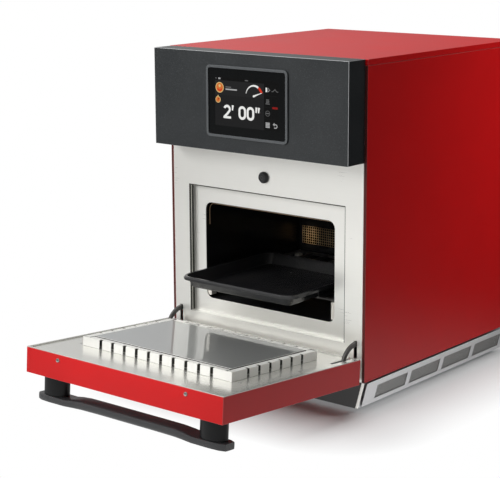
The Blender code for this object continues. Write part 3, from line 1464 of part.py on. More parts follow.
def electronics():
    """The shelf over the hot part, and the power board that stands on it."""
    side = HALF_FRAME - FRAME_SHEET - SEAT_GAP
    depth = (FRAME_SHEET + SEAT_GAP, BODY_DEPTH - CASING_SHEET - SEAT_GAP)
    block("electronics_deck", both_ways(side), depth, (DECK_Z, DECK_Z + CASING_SHEET), "galvanised")
    foot = DECK_Z + CASING_SHEET + SEAT_GAP
    surface = foot + SPACER_HEIGHT
    x = both_ways(BOARD_LENGTH / 2)
    y = (BOARD_FRONT, BOARD_FRONT + BOARD_WIDTH)
    board = block("power_board", x, y, (surface, surface + BOARD_THICK), "circuit_board")
    centre = middle(y)
    for post_x in both_ways(BOARD_LENGTH / 2 - SPACER_HEIGHT):
        for post_y in (y[0] + SPACER_HEIGHT, y[1] - SPACER_HEIGHT):
            reach = (foot, surface + BOARD_THICK / 2)
            join(
                board,
                rod("spacer", BRACKET_SHEET * 2, reach, (post_x, post_y, 0), "Z", "circuit_board", ORIGIN, 8)
            )
    low = surface + BOARD_THICK / 2
    for share_x, share_y, share_z, share_r in BOARD_CAPACITORS:
        reach = (low, surface + share_z * BOARD_LENGTH)
        place = (share_x * BOARD_LENGTH, centre + share_y * BOARD_WIDTH, 0)
        join(
            board, rod("capacitor", share_r * BOARD_LENGTH, reach, place, "Z", "circuit_board", ORIGIN, 16)
        )
    for share_x, share_y, long, wide, tall in BOARD_BLOCKS:
        across_x = (share_x - long) * BOARD_LENGTH, (share_x + long) * BOARD_LENGTH
        middle_y = centre + share_y * BOARD_WIDTH
        across_y = (middle_y - wide * BOARD_LENGTH, middle_y + wide * BOARD_LENGTH)
        join(
            board, block("block", across_x, across_y, (low, surface + tall * BOARD_LENGTH), "circuit_board")
        )


casing()
cable_gland()
base()
skirts()
front_frame()
door_buffer()
hinge_arms()
door_shell()
choke()
handle()
fascia()
cavity()
rack_and_tray()
hot_air()
microwave_floor()
microwave_feed()
high_voltage()
cooling()
electronics()
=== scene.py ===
# %% [markdown]
# # Dressing a countertop speed oven
# The imported model holds every working piece of the oven as plain solids. This lesson gives them
# their looks: rounded edges, coated, brushed and enamelled surfaces, a lit touch screen, and the
# small things that only show close up. We start by loading the solids.

import json
import math

import bpy
from mathutils import Matrix, Vector


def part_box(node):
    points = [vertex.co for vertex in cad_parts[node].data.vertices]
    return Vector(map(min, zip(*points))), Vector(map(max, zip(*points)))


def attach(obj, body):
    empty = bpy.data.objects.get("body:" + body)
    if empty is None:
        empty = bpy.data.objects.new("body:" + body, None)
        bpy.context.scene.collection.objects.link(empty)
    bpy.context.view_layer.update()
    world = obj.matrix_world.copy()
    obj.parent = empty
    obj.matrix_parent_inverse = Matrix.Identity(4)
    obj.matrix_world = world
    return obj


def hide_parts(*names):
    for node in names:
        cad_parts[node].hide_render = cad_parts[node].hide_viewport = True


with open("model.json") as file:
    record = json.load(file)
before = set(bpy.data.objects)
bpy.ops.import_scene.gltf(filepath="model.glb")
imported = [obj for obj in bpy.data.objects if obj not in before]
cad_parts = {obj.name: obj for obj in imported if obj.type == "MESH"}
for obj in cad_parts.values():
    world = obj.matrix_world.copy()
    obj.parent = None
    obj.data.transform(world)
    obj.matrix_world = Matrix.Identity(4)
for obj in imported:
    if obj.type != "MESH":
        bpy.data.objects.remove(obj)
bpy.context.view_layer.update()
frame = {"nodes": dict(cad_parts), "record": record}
MM = 0.001

# %% [markdown]
# We name the two planes that come back often: the front of the stainless face and the bottom of
# the casing.

# %% Name the planes that come back often
front_y = Vector(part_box("front_frame")[0]).y
base_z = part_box("base_pan")[0][2]
print("front plane at y", round(front_y, 4), "base at z", round(base_z, 4))

# %% [markdown]
# The camera stands in front of the oven, to its right and a little above the top cover. Its place
# was worked out from the slant of the casing's edges. A wide lens from nearby would show the same
# faces, but a long lens from further away keeps the slants gentle, as in a catalogue picture.

# %% Place the camera
TO_THE_RIGHT, IN_FRONT, ABOVE_BASE = 1.7235, 2.1261, 0.8833
AZIMUTH = math.radians(39.582)
ELEVATION = math.radians(12.327)
ROLL = math.radians(-0.295)
FOCAL_LENGTH = 108.7
lens = bpy.data.cameras.new("catalogue_camera")
lens.lens = FOCAL_LENGTH
lens.sensor_width = 36
lens.clip_start = 0.05
camera = bpy.data.objects.new("catalogue_camera", lens)
bpy.context.scene.collection.objects.link(camera)
camera.location = (TO_THE_RIGHT, front_y - IN_FRONT, base_z + ABOVE_BASE)
turn = Matrix.Rotation(AZIMUTH, 4, "Z") @ Matrix.Rotation(math.pi / 2 - ELEVATION, 4, "X")
camera.rotation_euler = (turn @ Matrix.Rotation(ROLL, 4, "Z")).to_euler()
bpy.context.scene.camera = camera
print("camera at", [round(v, 3) for v in camera.location])

# %% [markdown]
# Shader maths can be wired by hand, node by node, but it reads best as plain sums. A Wire wraps one
# socket and answers to the signs of arithmetic, so that an expression such as 1 - mask * 0.5 adds
# its Math nodes by itself.

# %% Write shader maths as expressions
class Wire:
    """One socket of a material, for use in sums."""

    def __init__(self, finish, socket):
        self.finish = finish
        self.socket = socket

    def maths(self, operation, first, second=None):
        values = {0: first} if second is None else {0: first, 1: second}
        return self.finish.add("ShaderNodeMath", {"operation": operation}, values)

    def __add__(self, other):
        return self.maths("ADD", self, other)

    def __sub__(self, other):
        return self.maths("SUBTRACT", self, other)

    def __rsub__(self, other):
        return self.maths("SUBTRACT", other, self)

    def __mul__(self, other):
        return self.maths("MULTIPLY", self, other)

    def __truediv__(self, other):
        return self.maths("DIVIDE", self, other)

    def __pow__(self, other):
        return self.maths("POWER", self, other)

    def above(self, other):
        return self.maths("GREATER_THAN", self, other)

    def fraction(self):
        return self.maths("FRACT", self)

    def size(self):
        return self.maths("ABSOLUTE", self)

    def lowest(self, other):
        return self.maths("MINIMUM", self, other)

    def highest(self, other):
        return self.maths("MAXIMUM", self, other)

    def held(self):
        """The value kept between 0 and 1."""
        return self.highest(0.0).lowest(1.0)

    __radd__ = __add__
    __rmul__ = __mul__


print("sums of sockets ready")

# %% [markdown]
# A Bench is any node tree that we work on. One method adds every kind of node to it: the settings
# go in first, because some of them change which sockets the node has, and then the sockets get
# their values or links.

# %% Add nodes to a tree
class Bench:
    """A node tree under construction."""

    def __init__(self, tree):
        self.tree = tree

    def plug(self, socket, value):
        if isinstance(value, Wire):
            self.tree.links.new(value.socket, socket)
        elif isinstance(value, tuple) and len(value) == 3 and socket.type == "RGBA":
            socket.default_value = (*value, 1)
        else:
            socket.default_value = value

    def add(self, kind, settings=None, values=None, output=0):
        """Adds a node: its settings first, then the values or links of its sockets."""
        node = self.tree.nodes.new(kind)
        for key, value in (settings or {}).items():
            setattr(node, key, value)
        for key, value in (values or {}).items():
            self.plug(node.inputs[key], value)
        return Wire(self, node.outputs[output])

    def axis(self, source, letter):
        """One letter of a vector as a number."""
        return self.add("ShaderNodeSeparateXYZ", values={0: source}, output="XYZ".index(letter))


print("bench ready")

# %% [markdown]
# A Finish is a Bench that holds one material. Its patterns read Object coordinates, which are metres
# on the oven itself, so a pattern keeps its true size and stays on its piece when the door swings or
# the tray slides.

# %% Build a finish round one shader
OBJECT_PLACE = 3  # the Texture Coordinate node's fourth output


class Finish(Bench):
    """A material under construction round one Principled shader."""

    def __init__(self, name, colour, roughness, metallic=0.0, **fixed):
        self.material = bpy.data.materials.new(name)
        self.material.use_nodes = True
        super().__init__(self.material.node_tree)
        self.shader = self.tree.nodes["Principled BSDF"]
        self.put("Base Color", colour)
        self.put("Roughness", roughness)
        self.put("Metallic", metallic)
        for socket, value in fixed.items():
            self.put(socket.replace("_", " "), value)

    def put(self, name, value):
        self.plug(self.shader.inputs[name], value)

    def place(self, stretch=(1, 1, 1)):
        """Object coordinates in metres, stretched for a pattern."""
        own = self.add("ShaderNodeTexCoord", output=OBJECT_PLACE)
        return self.add("ShaderNodeMapping", values={"Vector": own, "Scale": stretch})

    def along(self, letter):
        """One of the Object coordinates as a number."""
        return self.axis(self.add("ShaderNodeTexCoord", output=OBJECT_PLACE), letter)

    def noise(self, size, detail=2.0, stretch=(1, 1, 1)):
        """Noise whose lumps are about size metres across."""
        values = {"Vector": self.place(stretch), "Scale": 1 / size, "Detail": detail}
        return self.add("ShaderNodeTexNoise", values=values)

    def between(self, mask, low, high):
        """Mixes two colours by a mask."""
        values = {0: mask, 6: (*low, 1), 7: (*high, 1)}
        return self.add("ShaderNodeMix", {"data_type": "RGBA"}, values, output=2)

    def bump(self, height, depth, strength):
        """Turns a height from 0 to 1 into relief of that depth in metres."""
        values = {"Height": height, "Distance": depth, "Strength": strength}
        self.put("Normal", self.add("ShaderNodeBump", values=values))


print("shader helpers ready")

# %% [markdown]
# The casing is steel with a satin powder coat. Powder melts in an oven into a skin with a very fine
# orange peel, about a millimetre from bump to bump, so the red has soft, slightly broken highlights.
# The control box has the same kind of coat in anthracite with a pinch of metal flake in it. A sharp
# fold catches the light, so the edges get paler coats of their own: these are painted highlights.

# %% Mix the powder coats
CLOUD_SIZE, PEEL_SIZE, FLAKE_SIZE = 0.09, 0.0012, 0.0009
PEEL_DEPTH = 0.00006
FLAKE_COLOUR = (0.5, 0.52, 0.55, 1)


def powder_coat(name, colour, roughness, metallic=0.0, flake=0.0, shine=0.5):
    coat = Finish(name, colour, roughness, metallic, Specular_IOR_Level=shine)
    cloudy = coat.noise(CLOUD_SIZE)
    dark = tuple(channel * 0.93 for channel in colour)
    pale = tuple(min(1.0, channel * 1.06 + flake * 0.02) for channel in colour)
    shade = coat.between(cloudy, dark, pale)
    if flake:
        sparkle = coat.noise(FLAKE_SIZE, 1.0)
        shade = coat.add(
            "ShaderNodeMix",
            {"data_type": "RGBA", "blend_type": "ADD"},
            {0: (sparkle - 0.62) * flake, 6: shade, 7: FLAKE_COLOUR},
            output=2,
        )
    coat.put("Base Color", shade)
    peel = coat.noise(PEEL_SIZE)
    coat.put("Roughness", peel * 0.1 + (roughness - 0.05) + cloudy * 0.04)
    coat.bump(peel, PEEL_DEPTH, 0.35)
    return coat.material


red_coat = powder_coat("red_powder_coat", (0.5, 0.0035, 0.0045), 0.3, shine=0.24)
# The edge coats are painted highlights for the rounded edges.
red_edge_highlight = powder_coat("red_edge_painted_highlight", (0.6, 0.06, 0.06), 0.3, shine=0.6)
# The flange coat is painted shade, for the front flanges of the sides beside the steel face.
red_flange_shade = powder_coat("red_flange_painted_shade", (0.075, 0.012, 0.01), 0.4, shine=0.3)
anthracite = powder_coat("anthracite_coat", (0.0075, 0.01, 0.0115), 0.3, flake=0.8)
anthracite_edge_highlight = powder_coat("anthracite_edge_painted_highlight", (0.6, 0.61, 0.62), 0.3, 0.8)
bezel_grey = powder_coat("bezel_grey_coat", (0.1, 0.107, 0.112), 0.3, 0.4, flake=0.3)
skirt_grey = powder_coat("skirt_grey_coat", (0.68, 0.68, 0.69), 0.42, 0.6, flake=0.4)
black_coat = powder_coat("black_satin_coat", (0.016, 0.015, 0.015), 0.3)
print("powder coats mixed")

# %% [markdown]
# Stainless steel gets its look from the belt that ground it: thousands of hair-thin parallel lines
# that blur a reflection along one direction only. Noise squeezed hard across the grain gives the
# lines, with no finer detail in it, since that would show as dashes. A broad soft noise gives the
# faint cloudiness of a sheet that has been wiped. The plate of the door's seal is satin steel under
# a clear film, so it mirrors the oven sharply but faintly: a rough metal with a smooth coat over it.

# %% Write how a belt grinds steel
SMEAR_SIZE = 0.07
FILM_ROUGHNESS = 0.05


def ground_steel(
    name, colour, roughness, grain=(6, 6, 1600), spread=0.1, depth=0.0, smear=0.08, film=0.0, metal=0.72
):
    """Grain is the number of lines per metre along X, Y and Z, spread what they do to roughness."""
    steel = Finish(name, colour, roughness, metal, Coat_Weight=film, Coat_Roughness=FILM_ROUGHNESS)
    lines = steel.noise(1.0, 0.0, grain)
    cloud = steel.noise(SMEAR_SIZE, 3.0)
    steel.put("Roughness", (lines - 0.5) * spread + (cloud - 0.5) * smear + roughness)
    dull = tuple(channel * 0.95 for channel in colour)
    steel.put("Base Color", steel.between(cloud * 0.5 + lines * 0.5, dull, colour))
    if depth:
        steel.bump(lines, depth, 0.2)
    return steel.material


print("steel recipe ready")

# %% [markdown]
# Each sheet lies in its own direction, so each steel has its own grain. The seal's fingers and the
# grooves between them are lit so unevenly that they get a steel of their own rather than one mirror
# for all: a pale one for the fingers, and a dark one that is painted shade for whatever looks into a
# groove. The turned and forged pieces have no lines, only small scattered marks.

# %% Grind the stainless steels
ALONG_X, SCATTERED = (3, 900, 900), (60, 60, 60)
face_steel = ground_steel("brushed_face_steel", (0.94, 0.932, 0.885), 0.3, spread=0.05, metal=0.66)
panel_steel = ground_steel("brushed_panel_steel", (0.74, 0.735, 0.69), 0.25, ALONG_X, spread=0.05, film=0.2)
plate_steel = ground_steel(
    "film_covered_plate", (0.57, 0.585, 0.58), 0.45, (3, 500, 500), spread=0.06, film=1.0, metal=0.9
)
finger_steel = ground_steel(
    "finger_strip_steel", (0.93, 0.92, 0.88), 0.36, (40, 3, 40), spread=0.04, smear=0.02, metal=0.5
)
# The rim steel is a painted highlight, for the rounded rim of the seal's plate.
rim_highlight_steel = ground_steel("painted_highlight_rim_steel", (0.98, 0.97, 0.94), 0.3, spread=0.06)
# The shaded groove steel is painted shade, for faces that look into grooves and hollows.
painted_shade_steel = ground_steel("shaded_groove_steel", (0.09, 0.088, 0.08), 0.4, spread=0.06, metal=0.9)
arm_steel = ground_steel("hinge_arm_steel", (0.42, 0.41, 0.4), 0.22, SCATTERED, 0.15, 0.00003)
dark_steel = ground_steel("dark_forged_steel", (0.09, 0.087, 0.084), 0.4, SCATTERED, 0.2, 0.00005)
print("steels ground")

# %% [markdown]
# The hidden sheet metal is zinc coated, with the crystals, or spangle, that zinc grows as it cools.
# A Voronoi pattern gives each crystal its own tone.

# %% Galvanise the hidden sheets
CRYSTALS_PER_METRE = 190
zinc = Finish("zinc_coated_sheet", (0.6, 0.61, 0.62), 0.42, 0.7)
crystals = {"Vector": zinc.place(), "Scale": CRYSTALS_PER_METRE}
spangle = zinc.add("ShaderNodeTexVoronoi", values=crystals, output=1)
tone = zinc.add("ShaderNodeSeparateColor", values={0: spangle})
zinc.put("Base Color", zinc.between(tone, (0.56, 0.57, 0.585), (0.68, 0.69, 0.7)))
zinc.put("Roughness", tone * 0.1 + 0.38)
zinc.bump(tone, 0.00002, 0.4)
print("zinc crystals about", round(1000 / CRYSTALS_PER_METRE, 1), "mm wide")

# %% [markdown]
# The cavity and the tray are black and glossy: an enamel or non-stick coat over steel. Up close it
# has a shallow pebbling, and clouds of a faint tan haze, which heat leaves in such a coat.

# %% Fire the black enamel
ENAMEL_BLACK = (0.009, 0.009, 0.01)
HAZE_SIZE = 0.05
PEBBLE_DEPTH = 0.00012


def enamel(name, haze, gloss=0.16, pebble=0.004):
    coat = Finish(name, ENAMEL_BLACK, gloss)
    cloud = coat.noise(HAZE_SIZE, 4.0)
    coat.put("Base Color", coat.between((cloud - 0.45) * 2.2, ENAMEL_BLACK, haze))
    coat.put("Roughness", cloud * 0.16 + (gloss - 0.04))
    coat.bump(coat.noise(pebble), PEBBLE_DEPTH, 0.3)
    return coat.material


wall_enamel = enamel("cavity_enamel", (0.015, 0.0125, 0.0105))
tray_enamel = enamel("tray_coating", (0.018, 0.017, 0.016), 0.2, 0.0022)
print("enamels fired")

# %% [markdown]
# Moulded plastic has an even, very fine spark-eroded grain copied from its mould. The handle takes a
# satin sheen from it, and the rubber parts a duller one. The grip's black is paler than the posts',
# a painted highlight along its rounded top. Glazed ceramic, glass, a lacquered board and the rope
# seal are no plastics, but they are one colour with fine pores as well, so the same recipe serves
# them with other numbers.

# %% Mould the plastics and rubber
MOTTLE_SIZE = 0.03


def moulded(name, colour, roughness, grain=0.0006, depth=0.00004, tint=1.35, shine=0.5):
    plastic = Finish(name, colour, roughness, Specular_IOR_Level=shine)
    pores = plastic.noise(grain, 1.0)
    cloud = plastic.noise(MOTTLE_SIZE)
    light = tuple(channel * tint for channel in colour)
    plastic.put("Base Color", plastic.between(cloud, colour, light))
    plastic.put("Roughness", pores * 0.14 + cloud * 0.06 + (roughness - 0.1))
    plastic.bump(pores, depth, 0.4)
    return plastic.material


handle_plastic = moulded("handle_black_plastic", (0.004, 0.0042, 0.0045), 0.4, shine=0.2)
grip_painted_sheen_plastic = moulded("grip_plastic_painted_highlight", (0.022, 0.0225, 0.024), 0.36)
soft_rubber = moulded("black_rubber", (0.012, 0.012, 0.012), 0.62, 0.0011, 0.00008)
white_ceramic = moulded("glazed_ceramic", (0.72, 0.69, 0.63), 0.24, 0.0018, 0.00005, 1.15)
green_board = moulded("circuit_board_green", (0.012, 0.1, 0.045), 0.38, 0.0016, 0.0001, 1.6)
glass_black = moulded("black_glass_ceramic", (0.01, 0.01, 0.011), 0.34, 0.004, 0.00001)
screen_glass = moulded("black_screen_glass", (0.002, 0.0024, 0.0026), 0.14, 0.02, 0.000001, shine=0.12)
tan_rope = moulded("tan_rope_seal", (0.3, 0.2, 0.115), 0.7, 0.0012, 0.0002)
print("plastics, rubber, ceramic and board moulded")

# %% [markdown]
# Mineral wool is a felt of fine fibres. Two noises stretched in different directions, one over the
# other, read as fibres lying across each other.

# %% Lay the mineral wool
wool = Finish("mineral_wool", (0.6, 0.5, 0.3), 0.95)
fibres = wool.noise(1.0, stretch=(120, 900, 500)) * 0.5 + wool.noise(1.0, stretch=(900, 130, 420)) * 0.5
wool.put("Base Color", wool.between((fibres - 0.3) * 2.5, (0.42, 0.34, 0.18), (0.74, 0.66, 0.45)))
wool.bump(fibres, 0.0009, 0.8)
print("wool laid")

# %% [markdown]
# A pressed or folded sheet never has a razor edge: the fold leaves a small radius, and that radius
# catches a thin line of light, which is what tells the eye that it looks at metal. The solids have
# sharp edges, and they stay as they are, so each visible one is copied first. The copy's loose
# triangles are merged into the flat faces that they were cut from.

# %% Copy a solid to work on
MERGE_WITHIN = 0.00001
FLAT_WITHIN = math.radians(0.5)


def pick(piece):
    """Makes one object the only selected one."""
    bpy.ops.object.select_all(action="DESELECT")
    piece.select_set(True)
    bpy.context.view_layer.objects.active = piece


def apply_all(piece):
    pick(piece)
    for modifier in list(piece.modifiers):
        bpy.ops.object.modifier_apply(modifier=modifier.name)


def coat(piece, finish):
    piece.data.materials.clear()
    piece.data.materials.append(finish)


def merged_copy(node):
    source = frame["nodes"][node]
    piece = source.copy()
    piece.data = source.data.copy()
    piece.parent = None
    piece.name = node + "_surface"
    bpy.context.scene.collection.objects.link(piece)
    pick(piece)
    if piece.data.has_custom_normals:
        bpy.ops.mesh.customdata_custom_splitnormals_clear()
    bpy.ops.object.mode_set(mode="EDIT")
    bpy.ops.mesh.select_all(action="SELECT")
    bpy.ops.mesh.remove_doubles(threshold=MERGE_WITHIN)
    bpy.ops.mesh.dissolve_limited(angle_limit=FLAT_WITHIN)
    bpy.ops.object.mode_set(mode="OBJECT")
    return piece


print("ready to copy solids")

# %% [markdown]
# A Bevel modifier with hardened normals then rounds every edge that is sharper than a limit, while
# the flats stay flat. Moving the edges by hand would do the same for one piece, but the modifier
# takes the same few numbers for all. Where an edge needs a painted highlight, the bevel's own faces
# get a paler finish. The copy rides with its body and stands for the solid.

# %% Round the edges of a solid's copy
body_of = {node: body for body, nodes in frame["record"]["behaviour"]["bodies"].items() for node in nodes}


def soften(node, finish, width=0.5 * MM, segments=2, smooth=48, least=25, edge=None):
    piece = merged_copy(node)
    coat(piece, finish)
    if edge:
        piece.data.materials.append(edge)
    bpy.ops.object.shade_smooth_by_angle(angle=math.radians(smooth))
    if width:
        bevel = piece.modifiers.new("rounded_edges", "BEVEL")
        bevel.width = width
        bevel.segments = segments
        bevel.limit_method = "ANGLE"
        bevel.angle_limit = math.radians(least)
        bevel.harden_normals = True
        bevel.material = 1 if edge else -1
        apply_all(piece)
    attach(piece, body_of[node])
    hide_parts(node)
    return piece


print("ready to round edges")

# %% [markdown]
# Casing first. The side panels, the lid and the door's skin are folded from 1.2 mm sheet, so half a
# millimetre is the outer radius that their thickness leaves room for. The control box is thicker and
# takes a fuller one. Their rounded edges get the paler edge coats, a painted highlight. Some faces of
# a sheet look different from the rest: the sides' front flanges lie in the shade beside the steel
# face, so they get a dark red that is painted shade, and the flange that the door's skin turns
# towards the oven is left bare. A face is found by the way it points and by its place.

# %% Dress the casing
def repaint(shell, finish, wanted):
    """Gives another finish to the faces that a test picks out."""
    shell.data.materials.append(finish)
    for face in shell.data.polygons:
        if wanted(face):
            face.material_index = len(shell.data.materials) - 1


def on_front_flange(face):
    return face.normal.y < -0.8 and face.center.y < front_y + 2 * MM


# The sides' front flanges get the dark red flange coat, which is painted shade.
for node in ("side_panel_left", "side_panel_right"):
    repaint(soften(node, red_coat, edge=red_edge_highlight), red_flange_shade, on_front_flange)
soften("top_cover", red_coat, edge=red_edge_highlight)
repaint(soften("door_skin", red_coat, edge=red_edge_highlight), face_steel, lambda face: face.normal.y > 0.8)
soften("control_fascia", anthracite, 1.2 * MM, 3, edge=anthracite_edge_highlight)
soften("screen_bezel", bezel_grey, 0.7 * MM, 3)
for node in ("skirt_left", "skirt_right"):
    soften(node, skirt_grey, 0.4 * MM)
soften("skirt_front", black_coat, 0.3 * MM)
soften("skirt_trim", face_steel, 0.3 * MM)
soften("rear_panel", zinc.material, 0.3 * MM)
print("casing dressed")

# %% [markdown]
# The stainless face has a recess, which takes the seal of the closed door. Its side walls get a dark
# steel, which is painted shade, with one bright line along them, a painted highlight where the sheet
# is folded round. The line could be cut into the mesh, but it is finer than any face there, so the
# finish draws it by its depth from the front.

# %% Shade the recess's wall
RECESS_X = 184 * MM
HIGHLIGHT_DEPTH, HIGHLIGHT_HALF_WIDTH = 4.8 * MM, 1.0 * MM
recess_wall_shade = Finish("recess_wall_painted_shade", (0.05, 0.05, 0.045), 0.4, 0.8)
depth_in = recess_wall_shade.along("Y") - front_y
painted_highlight = ((depth_in - HIGHLIGHT_DEPTH).size() * -1 + HIGHLIGHT_HALF_WIDTH).above(0.0)
recess_wall_shade.put("Base Color", recess_wall_shade.between(painted_highlight, (0.045, 0.045, 0.04), (0.7, 0.7, 0.66)))
print("wall bead", round(2 * HIGHLIGHT_HALF_WIDTH / MM, 1), "mm wide")

# %% [markdown]
# The face and the door's inner panel are brushed sheet. The face gets a smaller radius than the
# panel, so that the narrow slots for the hinge arms keep a crisp outline.

# %% Dress the face and the door's panel
def on_recess_wall(face):
    return abs(face.normal.x) > 0.9 and abs(abs(face.center.x) - RECESS_X) < 1 * MM


# The recess's side walls get the painted shade and the painted highlight line.
repaint(soften("front_frame", face_steel, 0.4 * MM, 1), recess_wall_shade.material, on_recess_wall)
soften("door_inner_panel", panel_steel)
print("face and panel dressed")

# %% [markdown]
# The seal is a mirror plate inside a frame of slotted fingers, which keeps the microwaves in. The
# plate has a rounded rim, a bevel of 1.4 mm, and its pale steel is a painted highlight. The fingers
# are so narrow that a bevel would only sparkle, so they stay sharp. What looks into the groove between
# the two gets a dark steel, which is painted shade.

# %% Dress the door's seal
finger_low, finger_high = (Vector(corner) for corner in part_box("choke_fingers"))
finger_middle = (finger_low + finger_high) / 2


def looks_inward(face):
    """An upright face of the fingers that points at the plate."""
    inward = finger_middle - face.center
    if abs(face.normal.x) > 0.7:
        far_out, towards = abs(inward.x) > 150 * MM, face.normal.x * inward.x
    else:
        far_out, towards = abs(inward.y) > 100 * MM, face.normal.y * inward.y
    return abs(face.normal.z) < 0.7 and far_out and towards > 0


# The rim's pale steel is a painted highlight, and the side walls' dark steel is painted shade.
seal_plate = soften("choke_plate", plate_steel, 1.4 * MM, 2, edge=rim_highlight_steel)
repaint(seal_plate, painted_shade_steel, lambda face: abs(face.normal.z) < 0.1)
repaint(soften("choke_fingers", finger_steel, 0), painted_shade_steel, looks_inward)
print("seal dressed")

# %% [markdown]
# The hinge arms get a dark steel, and their rounded edges a paler one, which is a painted highlight
# along the edges that slide through the slots of the face.

# %% Dress the hinge arms
for node in ("hinge_arm_left", "hinge_arm_right"):
    soften(node, dark_steel, 0.3 * MM, 1, edge=arm_steel)
print("hinge arms dressed")

# %% [markdown]
# Handle, tray, rack and rubber parts are round or swelling forms, so their copies are smoothed over
# the shallow facets, and only their real corners are rounded. For that, the bevel starts at a larger
# angle than the one between two facets of the round.

# %% Dress the rounded parts
# The grip's paler plastic is a painted highlight, against the darker posts.
soften("handle_bar", grip_painted_sheen_plastic, 0.8 * MM, 3, smooth=60, least=40)
for node in ("handle_post_left", "handle_post_right"):
    soften(node, handle_plastic, 0.8 * MM, 3, smooth=40, least=40)
soften("baking_tray", tray_enamel, 0.4 * MM, 2, smooth=40, least=30)
soften("wire_rack", dark_steel, 0.1 * MM, 1, smooth=50, least=60)
soften("door_buffer", soft_rubber, 0.5 * MM, 2, smooth=40, least=35)
for end in ("front_left", "front_right", "rear_left", "rear_right"):
    soften("foot_" + end, soft_rubber, 0.8 * MM, 2, smooth=40, least=35)
soften("cable_gland", handle_plastic, 0.4 * MM, 2, smooth=40, least=25)
print("rounded parts dressed")

# %% [markdown]
# Behind the windows of the skirts lies a fine woven mesh. Its thousands of wires are too small to
# model one by one, so the solid is a plain sheet, and the finish draws two sets of slanting wires on
# it. One set follows the sum of the length and the height, the other their difference.

# %% Weave the fine mesh behind the skirt windows
WIRE_PITCH = 2.4 * MM
mesh_finish = Finish("woven_vent_mesh", (0.05, 0.05, 0.05), 0.45, 0.6)
along, up = mesh_finish.along("Y") / WIRE_PITCH, mesh_finish.along("Z") / WIRE_PITCH
first, second = ((along + up).fraction() - 0.5).size(), ((along - up).fraction() - 0.5).size()
wire = ((first.highest(second) - 0.3) * 6).held()
mesh_finish.put("Base Color", mesh_finish.between(wire, (0.03, 0.03, 0.03), (0.6, 0.6, 0.58)))
mesh_finish.put("Metallic", wire * 0.7)
mesh_finish.bump(wire, 0.0005, 0.7)
print("mesh pitch", round(WIRE_PITCH / MM, 1), "mm")

# %% [markdown]
# The chamber and everything behind the panels are seen little or not at all. They keep their solids
# and only take a finish: enamel in the cavity, zinc on the hidden sheets, and so on.

# %% Dress the chamber and the inside
def dress(finish, *nodes):
    for node in nodes:
        coat(frame["nodes"][node], finish)


dress(wall_enamel, "cavity_wall_left", "cavity_wall_right", "cavity_back")
dress(white_ceramic, "rack_support_left", "rack_support_right")
dress(glass_black, "ceramic_floor")
dress(zinc.material, "base_pan", "hinge_bracket_left", "hinge_bracket_right")
dress(wall_enamel, "hot_air_duct", "cavity_floor")
dress(zinc.material, "waveguide", "magnetron", "electronics_deck")
dress(dark_steel, "fan_motor", "heater_element", "stirrer_motor", "transformer")
dress(face_steel, "jet_plate", "convection_fan", "mode_stirrer")
dress(arm_steel, "door_screw_left", "door_screw_right")
dress(wool.material, "door_insulation", "insulation_wrap")
dress(green_board, "display_board", "power_board")
dress(handle_plastic, "cooling_fan_frame", "cooling_fan")
dress(mesh_finish.material, "vent_mesh_left", "vent_mesh_right")
dress(screen_glass, "touch_glass")
print("inside dressed")

# %% [markdown]
# Small things come now, and many of them are flat marks that face the front. So we need a thin
# upright plate with rounded corners, and a way to join several of them into one piece. A plane gets
# its rounding from a bevel on its four corner points.

# %% Make a thin upright plate with rounded corners
UPRIGHT = (math.pi / 2, 0, 0)


def upright_plate(x0, x1, z0, z1, y, corner):
    bpy.ops.object.select_all(action="DESELECT")
    bpy.ops.mesh.primitive_plane_add(size=1, location=((x0 + x1) / 2, y, (z0 + z1) / 2), rotation=UPRIGHT)
    piece = bpy.context.active_object
    piece.scale = (abs(x1 - x0), abs(z1 - z0), 1)
    bpy.ops.object.transform_apply(location=True, rotation=True, scale=True)
    bpy.ops.object.mode_set(mode="EDIT")
    bpy.ops.mesh.select_all(action="SELECT")
    bpy.ops.mesh.bevel(offset=corner, segments=3, affect="VERTICES")
    bpy.ops.object.mode_set(mode="OBJECT")
    return piece


def join(pieces, name, finish, body):
    pick(pieces[0])
    for piece in pieces[1:]:
        piece.select_set(True)
    if len(pieces) > 1:
        bpy.ops.object.join()
    joined = bpy.context.active_object
    joined.name = name
    coat(joined, finish)
    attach(joined, body)


print("plate and join helpers ready")

# %% [markdown]
# Round the recess runs a thin dark line, where the face's sheet is folded in and the fold lies in
# shade. It could be cut as a groove, but one so shallow would hardly darken. Three thin dark plates
# just in front of the face paint it as shade instead: one along the head and one down each side.

# %% Paint the shade line round the recess
RECESS_FOOT_Z, RECESS_HEAD_Z = base_z + 118.5 * MM, base_z + 367.5 * MM
HEAD_SHADE_WIDTH, RIGHT_SHADE_WIDTH, LEFT_SHADE_WIDTH = 2.0 * MM, 1.2 * MM, 1.4 * MM
head_y, side_y = front_y - 0.03 * MM, front_y - 0.03 * MM - 0.01 * MM
left_x, right_x = -RECESS_X - LEFT_SHADE_WIDTH, RECESS_X + RIGHT_SHADE_WIDTH
shade_plates = [
    upright_plate(left_x, right_x, RECESS_HEAD_Z, RECESS_HEAD_Z + HEAD_SHADE_WIDTH, head_y, 0.4 * MM),
    upright_plate(RECESS_X, right_x, RECESS_FOOT_Z, RECESS_HEAD_Z, side_y, 0.3 * MM),
    upright_plate(left_x, -RECESS_X, RECESS_FOOT_Z, RECESS_HEAD_Z, side_y, 0.3 * MM),
]
join(shade_plates, "recess_painted_shade_line", painted_shade_steel, "oven")
print("seam laid round the recess,", round((right_x - left_x) / MM, 1), "mm wide")

# %% [markdown]
# A bronze mesh lies over the slots through which the blower draws the air out of the cavity. Its
# cells are wide enough to see through, so it is modelled: a grid is laid at its place, and a
# Wireframe modifier turns every edge of it into a wire.

